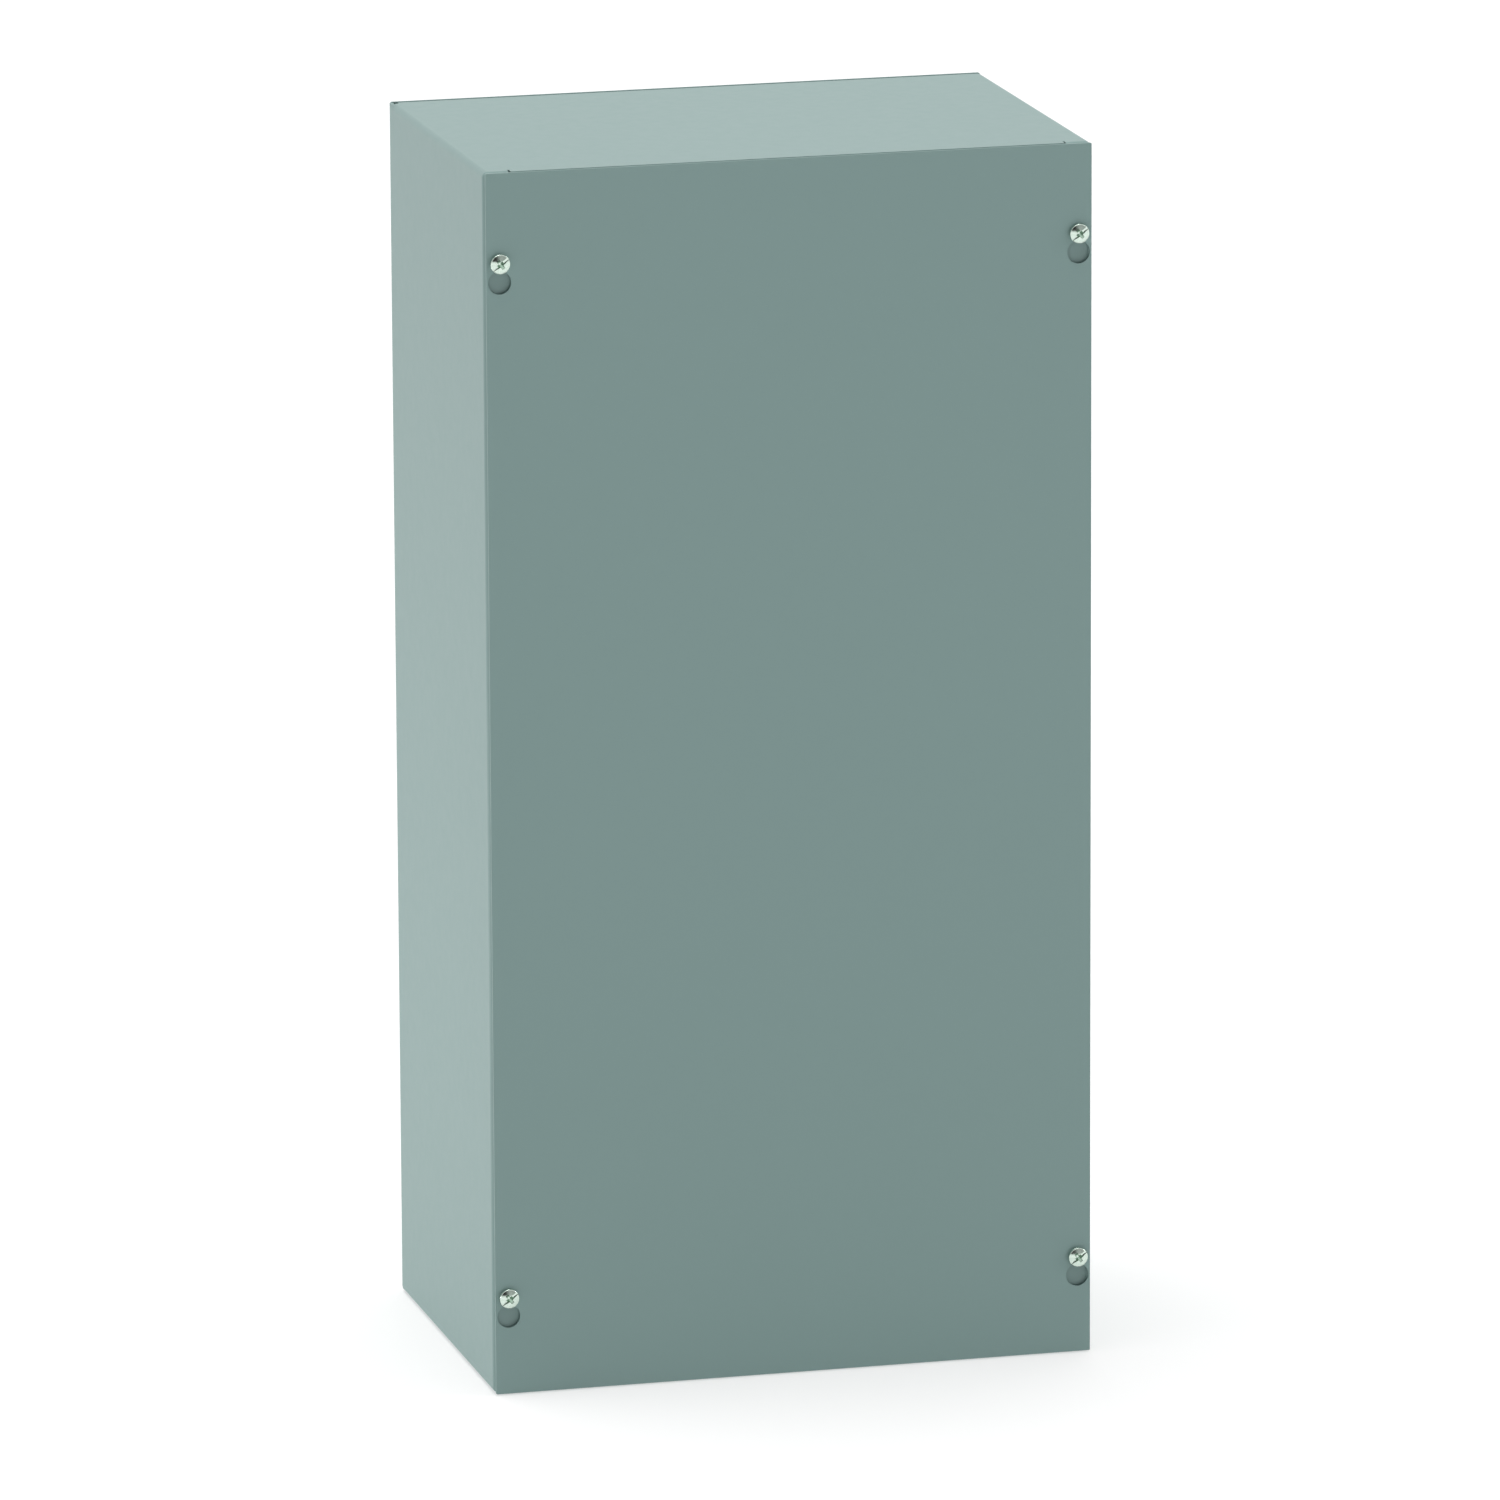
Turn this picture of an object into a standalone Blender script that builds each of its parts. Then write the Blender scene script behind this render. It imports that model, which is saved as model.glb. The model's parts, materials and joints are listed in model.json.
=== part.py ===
"""Screw-cover switchboard cabinet: a folded sheet-steel box with a keyholed cover and a mounting panel.

Metres, +Z up, and the cover faces -Y. The origin is on the floor under the middle of the whole object.
"""

import math

import bmesh
import bpy
from mathutils import Vector

# The box
WIDTH = 0.3048
HEIGHT = 0.6096
DEPTH = 0.2032  # from the wall to the front of the cover
SHEET = 0.0015
BEND = 0.0030  # outer radius of every fold
BEND_STEPS = 4
SIDE_NOTCH = 0.0009  # slot between a side flange and the end flange beside it
NOTCH_REACH = 0.0014  # how far that slot runs past the fold into the end wall
REAR_RELIEF = 0.0022
REAR_RELIEF_HEIGHT = 0.0050
REAR_RELIEF_INSET = 0.0011
GAP = 0.0003  # between any two pieces that touch

# The rear sheet
BACK_SHEET = 0.0015
BACK_SIDE_INSET = 0.0010
WALL_HOLE_RADIUS = 0.0040
WALL_HOLE_LAND = 0.0050  # metal between a wall hole and the rear flange

# The cover and its screws
COVER_SHEET = 0.0015
COVER_SIDE_INSET = 0.0008
COVER_END_INSET = 0.0003
SCREW_DROP = 0.0445  # from the top of the box to the upper screws
SCREW_RISE = 0.0490  # from the bottom of the box to the lower screws
KEYHOLE_DROP = 0.0094
HEAD_CLEARANCE = 0.0009
HEAD_RADIUS = 0.00485
HEAD_HEIGHT = 0.0030
HEAD_RIM = 0.0008
HEAD_DOME = 0.00020  # fall from the flat middle of the head to its rim
SHANK_RADIUS = 0.0024
SHANK_LENGTH = 0.0127
SHANK_CHAMFER = 0.0006
SLOT_WIDTH = 0.0012
SLOT_DEPTH = 0.0012
CROSS_SPAN = 0.0050
CROSS_WIDTH = 0.0014
CROSS_DEPTH = 0.0020
SLOT_TURN = math.radians(36)
NUT_FLATS = 0.0079
NUT_HEIGHT = 0.0040
NUT_CLEARANCE = 0.00045  # between a weld nut and the fold beside it
FLANGE_LAND = 0.00165  # flange past the weld nut

# The mounting panel and what holds it
PANEL_SHEET = 0.0019
PANEL_SIDE_MARGIN = 0.0381
PANEL_END_MARGIN = 0.0381
PANEL_CORNER = 0.0060
STUD_MARGIN = 0.0127
COLLAR_RADIUS = 0.0075
COLLAR_HEIGHT = 0.0095
STUD_RADIUS = 0.0031
STUD_TAIL = 0.0040  # thread left standing past its nut
STUD_CHAMFER = 0.0007
WASHER_RADIUS = 0.0068
WASHER_HEIGHT = 0.0012
STUD_NUT_FLATS = 0.0111
STUD_NUT_HEIGHT = 0.0055
GROUND_OFFSET = 0.0600  # from the middle of the box, to the right

# The rails
RAIL_WIDTH = 0.0350
RAIL_CHANNEL = 0.0270
RAIL_DEPTH = 0.0075
RAIL_SHEET = 0.0010
RAIL_SIDE_MARGIN = 0.0100
RAIL_DROP = 0.1500  # from the top of the panel to the upper rail
RAIL_RISE = 0.1900  # from the bottom of the panel to the lower rail
RAIL_SLOT_LENGTH = 0.0150
RAIL_SLOT_WIDTH = 0.0064
RAIL_SLOT_PITCH = 0.0250

# The small screws
PAN_RADIUS = 0.0045
PAN_HEIGHT = 0.0028
PAN_RIM = 0.0012
PAN_SLOT_WIDTH = 0.0010
PAN_SLOT_DEPTH = 0.0012
PAN_SHANK_RADIUS = 0.0024
PAN_TAIL = 0.0040  # thread past the back of the panel

# The earth bar
TERMINALS = 8
TERMINAL_PITCH = 0.0100
EARTH_SCREW_LAND = 0.0012  # between the heads of a bar screw and of the terminal beside it
EARTH_END = 0.0070  # bar past the middle of its screws
EARTH_BAR_DEPTH = 0.0100
EARTH_BAR_HEIGHT = 0.0120
EARTH_RISE = 0.0600  # from the bottom of the panel
WIRE_HOLE_RADIUS = 0.0024
WIRE_HOLE_SETBACK = 0.0060  # from the bar's front face
TERMINAL_HEAD_RADIUS = 0.0034
TERMINAL_HEAD_HEIGHT = 0.0026
TERMINAL_RIM = 0.0004
TERMINAL_SHANK_RADIUS = 0.0018
STANDOFF_FLATS = 0.0100
STANDOFF_HEIGHT = 0.0100

# Planes from the wall forwards, each piece a gap in front of the last
HEAD_PROUD = GAP + HEAD_HEIGHT
WALL_Y = (DEPTH + HEAD_PROUD) / 2
COVER_FRONT_Y = WALL_Y - DEPTH
BOX_FRONT_Y = COVER_FRONT_Y + COVER_SHEET + GAP
BACK_FRONT_Y = WALL_Y - BACK_SHEET
BOX_BACK_Y = BACK_FRONT_Y - GAP
PANEL_BACK_Y = BOX_BACK_Y - COLLAR_HEIGHT - GAP
PANEL_FRONT_Y = PANEL_BACK_Y - PANEL_SHEET
PANEL_SEAT_Y = PANEL_FRONT_Y - GAP
RAIL_SEAT_Y = PANEL_SEAT_Y - RAIL_SHEET - GAP
EARTH_BACK_Y = PANEL_SEAT_Y - STANDOFF_HEIGHT - GAP
EARTH_FRONT_Y = EARTH_BACK_Y - EARTH_BAR_DEPTH

# What follows from them
SCREW_INSET = BEND + NUT_CLEARANCE + NUT_FLATS / 2
SCREW_X = WIDTH / 2 - SCREW_INSET
FLANGE = SCREW_INSET + NUT_FLATS / 2 + FLANGE_LAND
WALL_HOLE_INSET = FLANGE + WALL_HOLE_LAND + WALL_HOLE_RADIUS
PANEL_WIDTH = WIDTH - 2 * PANEL_SIDE_MARGIN
PANEL_BOTTOM_Z = PANEL_END_MARGIN
PANEL_TOP_Z = HEIGHT - PANEL_END_MARGIN
GROUND_Z = (FLANGE + PANEL_BOTTOM_Z) / 2
RAIL_LENGTH = PANEL_WIDTH - 2 * RAIL_SIDE_MARGIN
RAIL_SLOTS = int((RAIL_LENGTH - RAIL_SLOT_LENGTH - 2 * RAIL_SHEET) / RAIL_SLOT_PITCH) + 1
RAIL_SCREW_X = (RAIL_SLOTS - 1) * RAIL_SLOT_PITCH / 2
EARTH_Z = PANEL_BOTTOM_Z + EARTH_RISE
TERMINAL_SPAN = (TERMINALS - 1) * TERMINAL_PITCH
EARTH_SCREW_X = TERMINAL_SPAN / 2 + TERMINAL_HEAD_RADIUS + EARTH_SCREW_LAND + PAN_RADIUS

# Directions: a turned piece stands along its own +Z, and FORWARD lays it along -Y, out of the cover
UPRIGHT = (0, 0, 0)
FORWARD = (math.pi / 2, 0, 0)
ROUND_STEPS = 20
SMALL_STEPS = 12
ARC_STEPS = 3
PAST = 0.0020  # how far a cutter runs beyond what it cuts
SMOOTH_ANGLE = math.radians(35)
WELD = 0.00001
SIDES = {"left": -1, "right": 1}

PARTS = "switchboard_cabinet"
CUTTERS = "cutters"

# Colour, roughness and metallic value of each finish
FINISHES = {
    "grey_green_paint": ((0.262, 0.352, 0.335), 0.45, 0.0),
    "white_paint": ((0.76, 0.77, 0.75), 0.40, 0.0),
    "zinc_plate": ((0.63, 0.66, 0.64), 0.28, 1.0),
    "galvanised_steel": ((0.52, 0.54, 0.55), 0.38, 1.0),
    "brass": ((0.72, 0.52, 0.22), 0.30, 1.0),
}


def clear_scene():
    for obj in list(bpy.data.objects):
        bpy.data.objects.remove(obj, do_unlink=True)


def make_collection(name):
    collection = bpy.data.collections.new(name)
    bpy.context.scene.collection.children.link(collection)
    return collection


def finish(name):
    """The material of this finish, made the first time it is asked for."""
    if name in bpy.data.materials:
        return bpy.data.materials[name]
    colour, roughness, metallic = FINISHES[name]
    material = bpy.data.materials.new(name)
    material.use_nodes = True
    shader = material.node_tree.nodes["Principled BSDF"]
    shader.inputs["Base Color"].default_value = (*colour, 1)
    shader.inputs["Roughness"].default_value = roughness
    shader.inputs["Metallic"].default_value = metallic
    return material


# Meshes


def mesh_from(name, bm):
    mesh = bpy.data.meshes.new(name)
    bm.to_mesh(mesh)
    bm.free()
    return mesh


def block(name, size):
    """A box of this size, centred."""
    bm = bmesh.new()
    bmesh.ops.create_cube(bm, size=1)
    bmesh.ops.scale(bm, vec=size, verts=bm.verts)
    return mesh_from(name, bm)


def rod(name, radius, length, steps=ROUND_STEPS):
    """A cylinder along Z, centred."""
    bm = bmesh.new()
    bmesh.ops.create_cone(
        bm, cap_ends=True, segments=steps, radius1=radius, radius2=radius, depth=length
    )
    return mesh_from(name, bm)


def hexagon(name, flats, length):
    """A hexagonal prism along Z with two flats facing X, centred."""
    bm = bmesh.new()
    corner = flats / 2 / math.cos(math.pi / 6)
    bmesh.ops.create_cone(
        bm, cap_ends=True, segments=6, radius1=corner, radius2=corner, depth=length
    )
    return mesh_from(name, bm)


def arc(centre, radius, start, stop, steps):
    """Points of an arc about this centre, from one angle to another."""
    angles = [start + (stop - start) * i / steps for i in range(steps + 1)]
    return [
        (centre[0] + radius * math.cos(angle), centre[1] + radius * math.sin(angle))
        for angle in angles
    ]


def outline(name, points, thickness):
    """A closed flat outline in XY, made this thick and centred on Z."""
    curve = bpy.data.curves.new(name, "CURVE")
    curve.dimensions = "2D"
    curve.fill_mode = "BOTH"
    curve.extrude = thickness / 2
    spline = curve.splines.new("POLY")
    spline.points.add(len(points) - 1)
    for point, (x, y) in zip(spline.points, points):
        point.co = (x, y, 0, 1)
    spline.use_cyclic_u = True
    mesh = baked(bpy.data.objects.new(name, curve))
    bpy.data.curves.remove(curve)
    return mesh


def turned(name, profile, steps=ROUND_STEPS):
    """A solid of revolution about Z. The profile's (radius, height) points run down its outer side."""
    bm = bmesh.new()
    verts = [bm.verts.new((radius, 0, height)) for radius, height in profile]
    for upper, lower in zip(verts, verts[1:]):
        bm.edges.new((upper, lower))
    obj = bpy.data.objects.new(name, mesh_from(name, bm))
    screw = obj.modifiers.new("turn", "SCREW")
    screw.steps = steps
    screw.render_steps = steps
    screw.use_merge_vertices = True
    screw.merge_threshold = WELD
    return obj


def baked(obj):
    """The object's mesh with its modifiers applied and its seams welded. The object is removed."""
    bpy.context.scene.collection.objects.link(obj)
    bpy.context.view_layer.update()
    graph = bpy.context.evaluated_depsgraph_get()
    mesh = bpy.data.meshes.new_from_object(obj.evaluated_get(graph))
    mesh.name = obj.name
    bpy.data.objects.remove(obj)
    bm = bmesh.new()
    bm.from_mesh(mesh)
    bmesh.ops.remove_doubles(bm, verts=bm.verts, dist=WELD)
    bmesh.ops.recalc_face_normals(bm, faces=bm.faces)
    bm.to_mesh(mesh)
    bm.free()
    mesh.shade_smooth()
    mesh.set_sharp_from_angle(angle=SMOOTH_ANGLE)
    return mesh


# Objects


def place(name, mesh, at, material, turn=UPRIGHT):
    """A part of the cabinet."""
    obj = bpy.data.objects.new(name, mesh)
    obj.location = at
    obj.rotation_euler = turn
    obj.parent = ORIGIN
    mesh.materials.clear()
    mesh.materials.append(finish(material))
    bpy.data.collections[PARTS].objects.link(obj)
    return obj


def helper(name, mesh, at, turn=UPRIGHT):
    """A hidden shape that others are cut with or joined to."""
    obj = bpy.data.objects.new(name, mesh)
    obj.location = at
    obj.rotation_euler = turn
    obj.hide_render = True
    obj.display_type = "WIRE"
    bpy.data.collections[CUTTERS].objects.link(obj)
    return obj


def boolean(target, other, operation):
    modifier = target.modifiers.new(other.name, "BOOLEAN")
    modifier.operation = operation
    modifier.solver = "EXACT"
    modifier.object = other
    return modifier


def cut(target, mesh, at, turn=UPRIGHT):
    """Cuts this mesh out of the target and returns the cutter."""
    cutter = helper(f"{target.name}_less_{mesh.name}", mesh, at, turn)
    boolean(target, cutter, "DIFFERENCE")
    return cutter


def add(target, mesh, at, turn=UPRIGHT):
    boolean(target, helper(f"{target.name}_plus_{mesh.name}", mesh, at, turn), "UNION")


def repeat(obj, count, pitch):
    """Copies of this cutter along X."""
    array = obj.modifiers.new("row", "ARRAY")
    array.count = count
    array.use_relative_offset = False
    array.use_constant_offset = True
    array.constant_offset_displace = (pitch, 0, 0)


def rounded(obj, width, steps):
    bevel = obj.modifiers.new("folds", "BEVEL")
    bevel.width = width
    bevel.segments = steps
    bevel.limit_method = "NONE"


def between(low, high):
    """The size and the middle of the box between two corners."""
    low, high = Vector(low), Vector(high)
    return high - low, (low + high) / 2


# The box


def cut_box(target, name, low, high):
    size, middle = between(low, high)
    return cut(target, block(name, size), middle)


def make_wrapper():
    """The four walls with their flanges turned in at the front and at the back, folded from one sheet."""
    half = WIDTH / 2
    size, middle = between((-half, BOX_FRONT_Y, 0), (half, BOX_BACK_Y, HEIGHT))
    wrapper = place("wrapper", block("wrapper", size), middle, "grey_green_paint")
    rounded(wrapper, BEND, BEND_STEPS)
    square_end_folds(wrapper)
    inner = cut_box(
        wrapper,
        "inside",
        (SHEET - half, BOX_FRONT_Y + SHEET, SHEET),
        (half - SHEET, BOX_BACK_Y - SHEET, HEIGHT - SHEET),
    )
    rounded(inner, BEND - SHEET, BEND_STEPS)
    mouth = half - FLANGE
    cut_box(
        wrapper,
        "mouths",
        (-mouth, BOX_FRONT_Y - PAST, FLANGE),
        (mouth, BOX_BACK_Y + PAST, HEIGHT - FLANGE),
    )
    notch_flanges(wrapper)
    for label, x, z in screw_places():
        hole = rod(f"{label}_hole", SHANK_RADIUS + GAP, SHEET + 2 * PAST, SMALL_STEPS)
        cut(wrapper, hole, (x, BOX_FRONT_Y + SHEET / 2, z), FORWARD)
    return wrapper


def square_end_folds(wrapper):
    """The end walls' front folds are sharp between the notches."""
    reach = WIDTH / 2 - FLANGE - SIDE_NOTCH
    size = (2 * reach, BEND, BEND)
    for label, z in (("bottom_fold", BEND / 2), ("top_fold", HEIGHT - BEND / 2)):
        add(wrapper, block(label, size), (0, BOX_FRONT_Y + BEND / 2, z))


def notch_flanges(wrapper):
    """Slots that part the end flanges from the side flanges, and the reliefs at the rear corners."""
    front_size = (SIDE_NOTCH, BEND + NOTCH_REACH + PAST, FLANGE + 2 * PAST)
    rear_size = (REAR_RELIEF, BEND + PAST, REAR_RELIEF_HEIGHT + PAST)
    for side, sign in SIDES.items():
        front_x = sign * (WIDTH / 2 - FLANGE - SIDE_NOTCH / 2)
        rear_x = sign * (WIDTH / 2 - REAR_RELIEF_INSET - REAR_RELIEF / 2)
        for end, edge, inward in (("bottom", 0, 1), ("top", HEIGHT, -1)):
            front_y = BOX_FRONT_Y - PAST + front_size[1] / 2
            front_z = edge + inward * (front_size[2] / 2 - PAST)
            cut(wrapper, block(f"{end}_{side}_notch", front_size), (front_x, front_y, front_z))
            rear_y = BOX_BACK_Y + PAST - rear_size[1] / 2
            rear_z = edge + inward * (rear_size[2] / 2 - PAST)
            cut(wrapper, block(f"{end}_{side}_relief", rear_size), (rear_x, rear_y, rear_z))


def make_back_panel():
    """The flat sheet behind the box, with its four wall holes. Its ends stand level with the end walls."""
    half = WIDTH / 2 - BACK_SIDE_INSET
    size, middle = between((-half, BACK_FRONT_Y, 0), (half, WALL_Y, HEIGHT))
    panel = place("back_panel", block("back_panel", size), middle, "grey_green_paint")
    for side, sign in SIDES.items():
        x = sign * (WIDTH / 2 - WALL_HOLE_INSET)
        for end, z in (("bottom", WALL_HOLE_INSET), ("top", HEIGHT - WALL_HOLE_INSET)):
            hole = rod(f"{end}_{side}_wall_hole", WALL_HOLE_RADIUS, BACK_SHEET + 2 * PAST)
            cut(panel, hole, (x, middle.y, z), FORWARD)
    return panel


# The cover


def screw_places():
    """(label, x, z) of the four cover screws."""
    return [
        (f"{end}_{side}", sign * SCREW_X, z)
        for end, z in (("top", HEIGHT - SCREW_DROP), ("bottom", SCREW_RISE))
        for side, sign in SIDES.items()
    ]


def keyhole_outline():
    """A slot up from a round hole. The screw rests at the top of the slot, which is the outline's origin."""
    slot = SHANK_RADIUS + GAP
    hole = HEAD_RADIUS + HEAD_CLEARANCE
    mouth = math.asin(slot / hole)
    start, stop = math.pi / 2 + mouth, 5 * math.pi / 2 - mouth
    return arc((0, 0), slot, 0, math.pi, 8) + arc((0, -KEYHOLE_DROP), hole, start, stop, 26)


def make_cover():
    size, middle = between(
        (COVER_SIDE_INSET - WIDTH / 2, COVER_FRONT_Y, COVER_END_INSET),
        (WIDTH / 2 - COVER_SIDE_INSET, COVER_FRONT_Y + COVER_SHEET, HEIGHT - COVER_END_INSET),
    )
    cover = place("cover", block("cover", size), middle, "grey_green_paint")
    for label, x, z in screw_places():
        keyhole = outline(f"{label}_keyhole", keyhole_outline(), COVER_SHEET + 2 * PAST)
        cut(cover, keyhole, (x, middle.y, z), FORWARD)
    return cover


def cover_screw_mesh():
    """A pan head with a slot and a cross, its underside at zero and its shank down -Z."""
    rim_top = HEAD_HEIGHT - HEAD_DOME
    rim = arc((HEAD_RADIUS - HEAD_RIM, rim_top - HEAD_RIM), HEAD_RIM, math.pi / 2, 0, ARC_STEPS)
    profile = [
        (0, HEAD_HEIGHT),
        (HEAD_RADIUS / 2, HEAD_HEIGHT),
        *rim,
        (HEAD_RADIUS, 0),
        (SHANK_RADIUS, 0),
        (SHANK_RADIUS, SHANK_CHAMFER - SHANK_LENGTH),
        (SHANK_RADIUS - SHANK_CHAMFER, -SHANK_LENGTH),
        (0, -SHANK_LENGTH),
    ]
    screw = turned("cover_screw", profile)
    across = 2 * (HEAD_RADIUS + PAST)
    drives = (
        ("slot", (across, SLOT_WIDTH, SLOT_DEPTH + PAST), SLOT_DEPTH, 0),
        ("cross_long", (CROSS_SPAN, CROSS_WIDTH, CROSS_DEPTH + PAST), CROSS_DEPTH, 0),
        ("cross_wide", (CROSS_SPAN, CROSS_WIDTH, CROSS_DEPTH + PAST), CROSS_DEPTH, math.pi / 2),
    )
    for name, size, depth, turn in drives:
        middle = HEAD_HEIGHT - depth + size[2] / 2
        cut(screw, block(name, size), (0, 0, middle), (0, 0, SLOT_TURN + turn))
    return baked(screw)


def weld_nut_mesh():
    nut = bpy.data.objects.new("weld_nut", hexagon("weld_nut", NUT_FLATS, NUT_HEIGHT))
    cut(nut, rod("thread", SHANK_RADIUS + GAP, NUT_HEIGHT + PAST, SMALL_STEPS), (0, 0, 0))
    return baked(nut)


def make_cover_fixings():
    """A screw through each keyhole into a nut welded behind the side flange."""
    screw = cover_screw_mesh()
    nut = weld_nut_mesh()
    nut_y = BOX_FRONT_Y + SHEET + GAP + NUT_HEIGHT / 2
    for label, x, z in screw_places():
        place(f"cover_screw_{label}", screw, (x, COVER_FRONT_Y - GAP, z), "zinc_plate", FORWARD)
        place(f"weld_nut_{label}", nut, (x, nut_y, z), "zinc_plate", FORWARD)


# The mounting panel


def stud_places():
    """(label, x, z) of the four studs that carry the mounting panel."""
    x = PANEL_WIDTH / 2 - STUD_MARGIN
    return [
        (f"{end}_{side}", sign * x, z)
        for end, z in (
            ("top", PANEL_TOP_Z - STUD_MARGIN),
            ("bottom", PANEL_BOTTOM_Z + STUD_MARGIN),
        )
        for side, sign in SIDES.items()
    ]


def rail_places():
    """(label, z) of the two rails."""
    return [("upper", PANEL_TOP_Z - RAIL_DROP), ("lower", PANEL_BOTTOM_Z + RAIL_RISE)]


def panel_screw_places():
    """(label, x, z) of the screws that hold the rails and the earth bar to the panel."""
    rails = [
        (f"rail_screw_{level}_{side}", sign * RAIL_SCREW_X, z)
        for level, z in rail_places()
        for side, sign in SIDES.items()
    ]
    bar = [
        (f"earth_bar_screw_{side}", sign * EARTH_SCREW_X, EARTH_Z)
        for side, sign in SIDES.items()
    ]
    return rails, bar


def make_mounting_panel():
    size = (PANEL_WIDTH, PANEL_SHEET, PANEL_TOP_Z - PANEL_BOTTOM_Z)
    middle = (0, (PANEL_FRONT_Y + PANEL_BACK_Y) / 2, (PANEL_TOP_Z + PANEL_BOTTOM_Z) / 2)
    panel = place("mounting_panel", block("mounting_panel", size), middle, "white_paint")
    clip_corners(panel)
    through = PANEL_SHEET + 2 * PAST
    for label, x, z in stud_places():
        hole = rod(f"{label}_stud_hole", STUD_RADIUS + GAP, through, SMALL_STEPS)
        cut(panel, hole, (x, middle[1], z), FORWARD)
    rails, bar = panel_screw_places()
    for label, x, z in rails + bar:
        hole = rod(f"{label}_hole", PAN_SHANK_RADIUS + GAP, through, SMALL_STEPS)
        cut(panel, hole, (x, middle[1], z), FORWARD)
    return panel


def clip_corners(panel):
    """Rounds the panel's four corners."""
    bm = bmesh.new()
    bm.from_mesh(panel.data)
    corners = [
        edge for edge in bm.edges if abs(edge.verts[0].co.y - edge.verts[1].co.y) > PANEL_SHEET / 2
    ]
    bmesh.ops.bevel(bm, geom=corners, offset=PANEL_CORNER, segments=4, profile=0.5, affect="EDGES")
    bm.to_mesh(panel.data)
    bm.free()


def stud_mesh(name, collar, holds):
    """A stud standing on a collar. holds is the thickness of what it clamps, nut included."""
    top = collar + holds + STUD_TAIL
    profile = [
        (0, top),
        (STUD_RADIUS - STUD_CHAMFER, top),
        (STUD_RADIUS, top - STUD_CHAMFER),
        (STUD_RADIUS, collar),
        (COLLAR_RADIUS, collar),
        (COLLAR_RADIUS, 0),
        (0, 0),
    ]
    return baked(turned(name, profile, SMALL_STEPS))


def ring_mesh(name, inner, outer, height):
    ring = bpy.data.objects.new(name, rod(name, outer, height))
    cut(ring, rod("bore", inner, height + PAST, SMALL_STEPS), (0, 0, 0))
    return baked(ring)


def hex_nut_mesh(name, flats, height, bore):
    nut = bpy.data.objects.new(name, hexagon(name, flats, height))
    cut(nut, rod("thread", bore, height + PAST, SMALL_STEPS), (0, 0, 0))
    return baked(nut)


def make_stud_set(label, stud, washer, nut, x, z, seat_y):
    """The washer and the nut on a stud, the washer a gap in front of seat_y."""
    washer_y = seat_y - GAP - WASHER_HEIGHT / 2
    nut_y = seat_y - 2 * GAP - WASHER_HEIGHT - STUD_NUT_HEIGHT / 2
    stud_name, washer_name, nut_name = label
    place(stud_name, stud, (x, BOX_BACK_Y, z), "zinc_plate", FORWARD)
    place(washer_name, washer, (x, washer_y, z), "zinc_plate", FORWARD)
    place(nut_name, nut, (x, nut_y, z), "zinc_plate", FORWARD)


def make_studs():
    """The four panel studs, and the ground stud under the panel."""
    on_thread = 3 * GAP + WASHER_HEIGHT + STUD_NUT_HEIGHT
    panel_stud = stud_mesh("panel_stud", COLLAR_HEIGHT, on_thread + PANEL_SHEET)
    ground_stud = stud_mesh("ground_stud", SHEET, on_thread)
    washer = ring_mesh("lock_washer", STUD_RADIUS + GAP, WASHER_RADIUS, WASHER_HEIGHT)
    nut = hex_nut_mesh("stud_nut", STUD_NUT_FLATS, STUD_NUT_HEIGHT, STUD_RADIUS + GAP)
    for label, x, z in stud_places():
        names = (f"panel_stud_{label}", f"panel_washer_{label}", f"panel_nut_{label}")
        make_stud_set(names, panel_stud, washer, nut, x, z, PANEL_FRONT_Y)
    names = ("ground_stud", "ground_washer", "ground_nut")
    make_stud_set(names, ground_stud, washer, nut, GROUND_OFFSET, GROUND_Z, BOX_BACK_Y - SHEET)


# The rails


def rail_surface():
    """The hat section's rear surface along X, with its base on XZ and its lips towards -Y."""
    lip, wall, reach = RAIL_WIDTH / 2, RAIL_CHANNEL / 2, RAIL_SHEET - RAIL_DEPTH
    section = [(-lip, reach), (-wall, reach), (-wall, 0), (wall, 0), (wall, reach), (lip, reach)]
    bm = bmesh.new()
    verts = [bm.verts.new((-RAIL_LENGTH / 2, y, z)) for z, y in section]
    edges = [bm.edges.new(pair) for pair in zip(verts, verts[1:])]
    swept = bmesh.ops.extrude_edge_only(bm, edges=edges)["geom"]
    moved = [item for item in swept if isinstance(item, bmesh.types.BMVert)]
    bmesh.ops.translate(bm, verts=moved, vec=(RAIL_LENGTH, 0, 0))
    bmesh.ops.recalc_face_normals(bm, faces=bm.faces)
    base = min(bm.faces, key=lambda face: abs(face.calc_center_median().y) + abs(face.normal.z))
    if base.normal.y > 0:
        bmesh.ops.reverse_faces(bm, faces=bm.faces)
    return mesh_from("rail", bm)


def stadium(length, width):
    """A slot with round ends along X."""
    reach = (length - width) / 2
    half = math.pi / 2
    right = arc((reach, 0), width / 2, -half, half, 8)
    left = arc((-reach, 0), width / 2, half, 3 * half, 8)
    return right + left


def rail_mesh():
    rail = bpy.data.objects.new("din_rail", rail_surface())
    solid = rail.modifiers.new("sheet", "SOLIDIFY")
    solid.thickness = RAIL_SHEET
    solid.offset = 1
    solid.use_even_offset = True
    slot = outline("slots", stadium(RAIL_SLOT_LENGTH, RAIL_SLOT_WIDTH), RAIL_SHEET + 2 * PAST)
    slots = cut(rail, slot, (-RAIL_SCREW_X, 0, 0), FORWARD)
    repeat(slots, RAIL_SLOTS, RAIL_SLOT_PITCH)
    return baked(rail)


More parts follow.
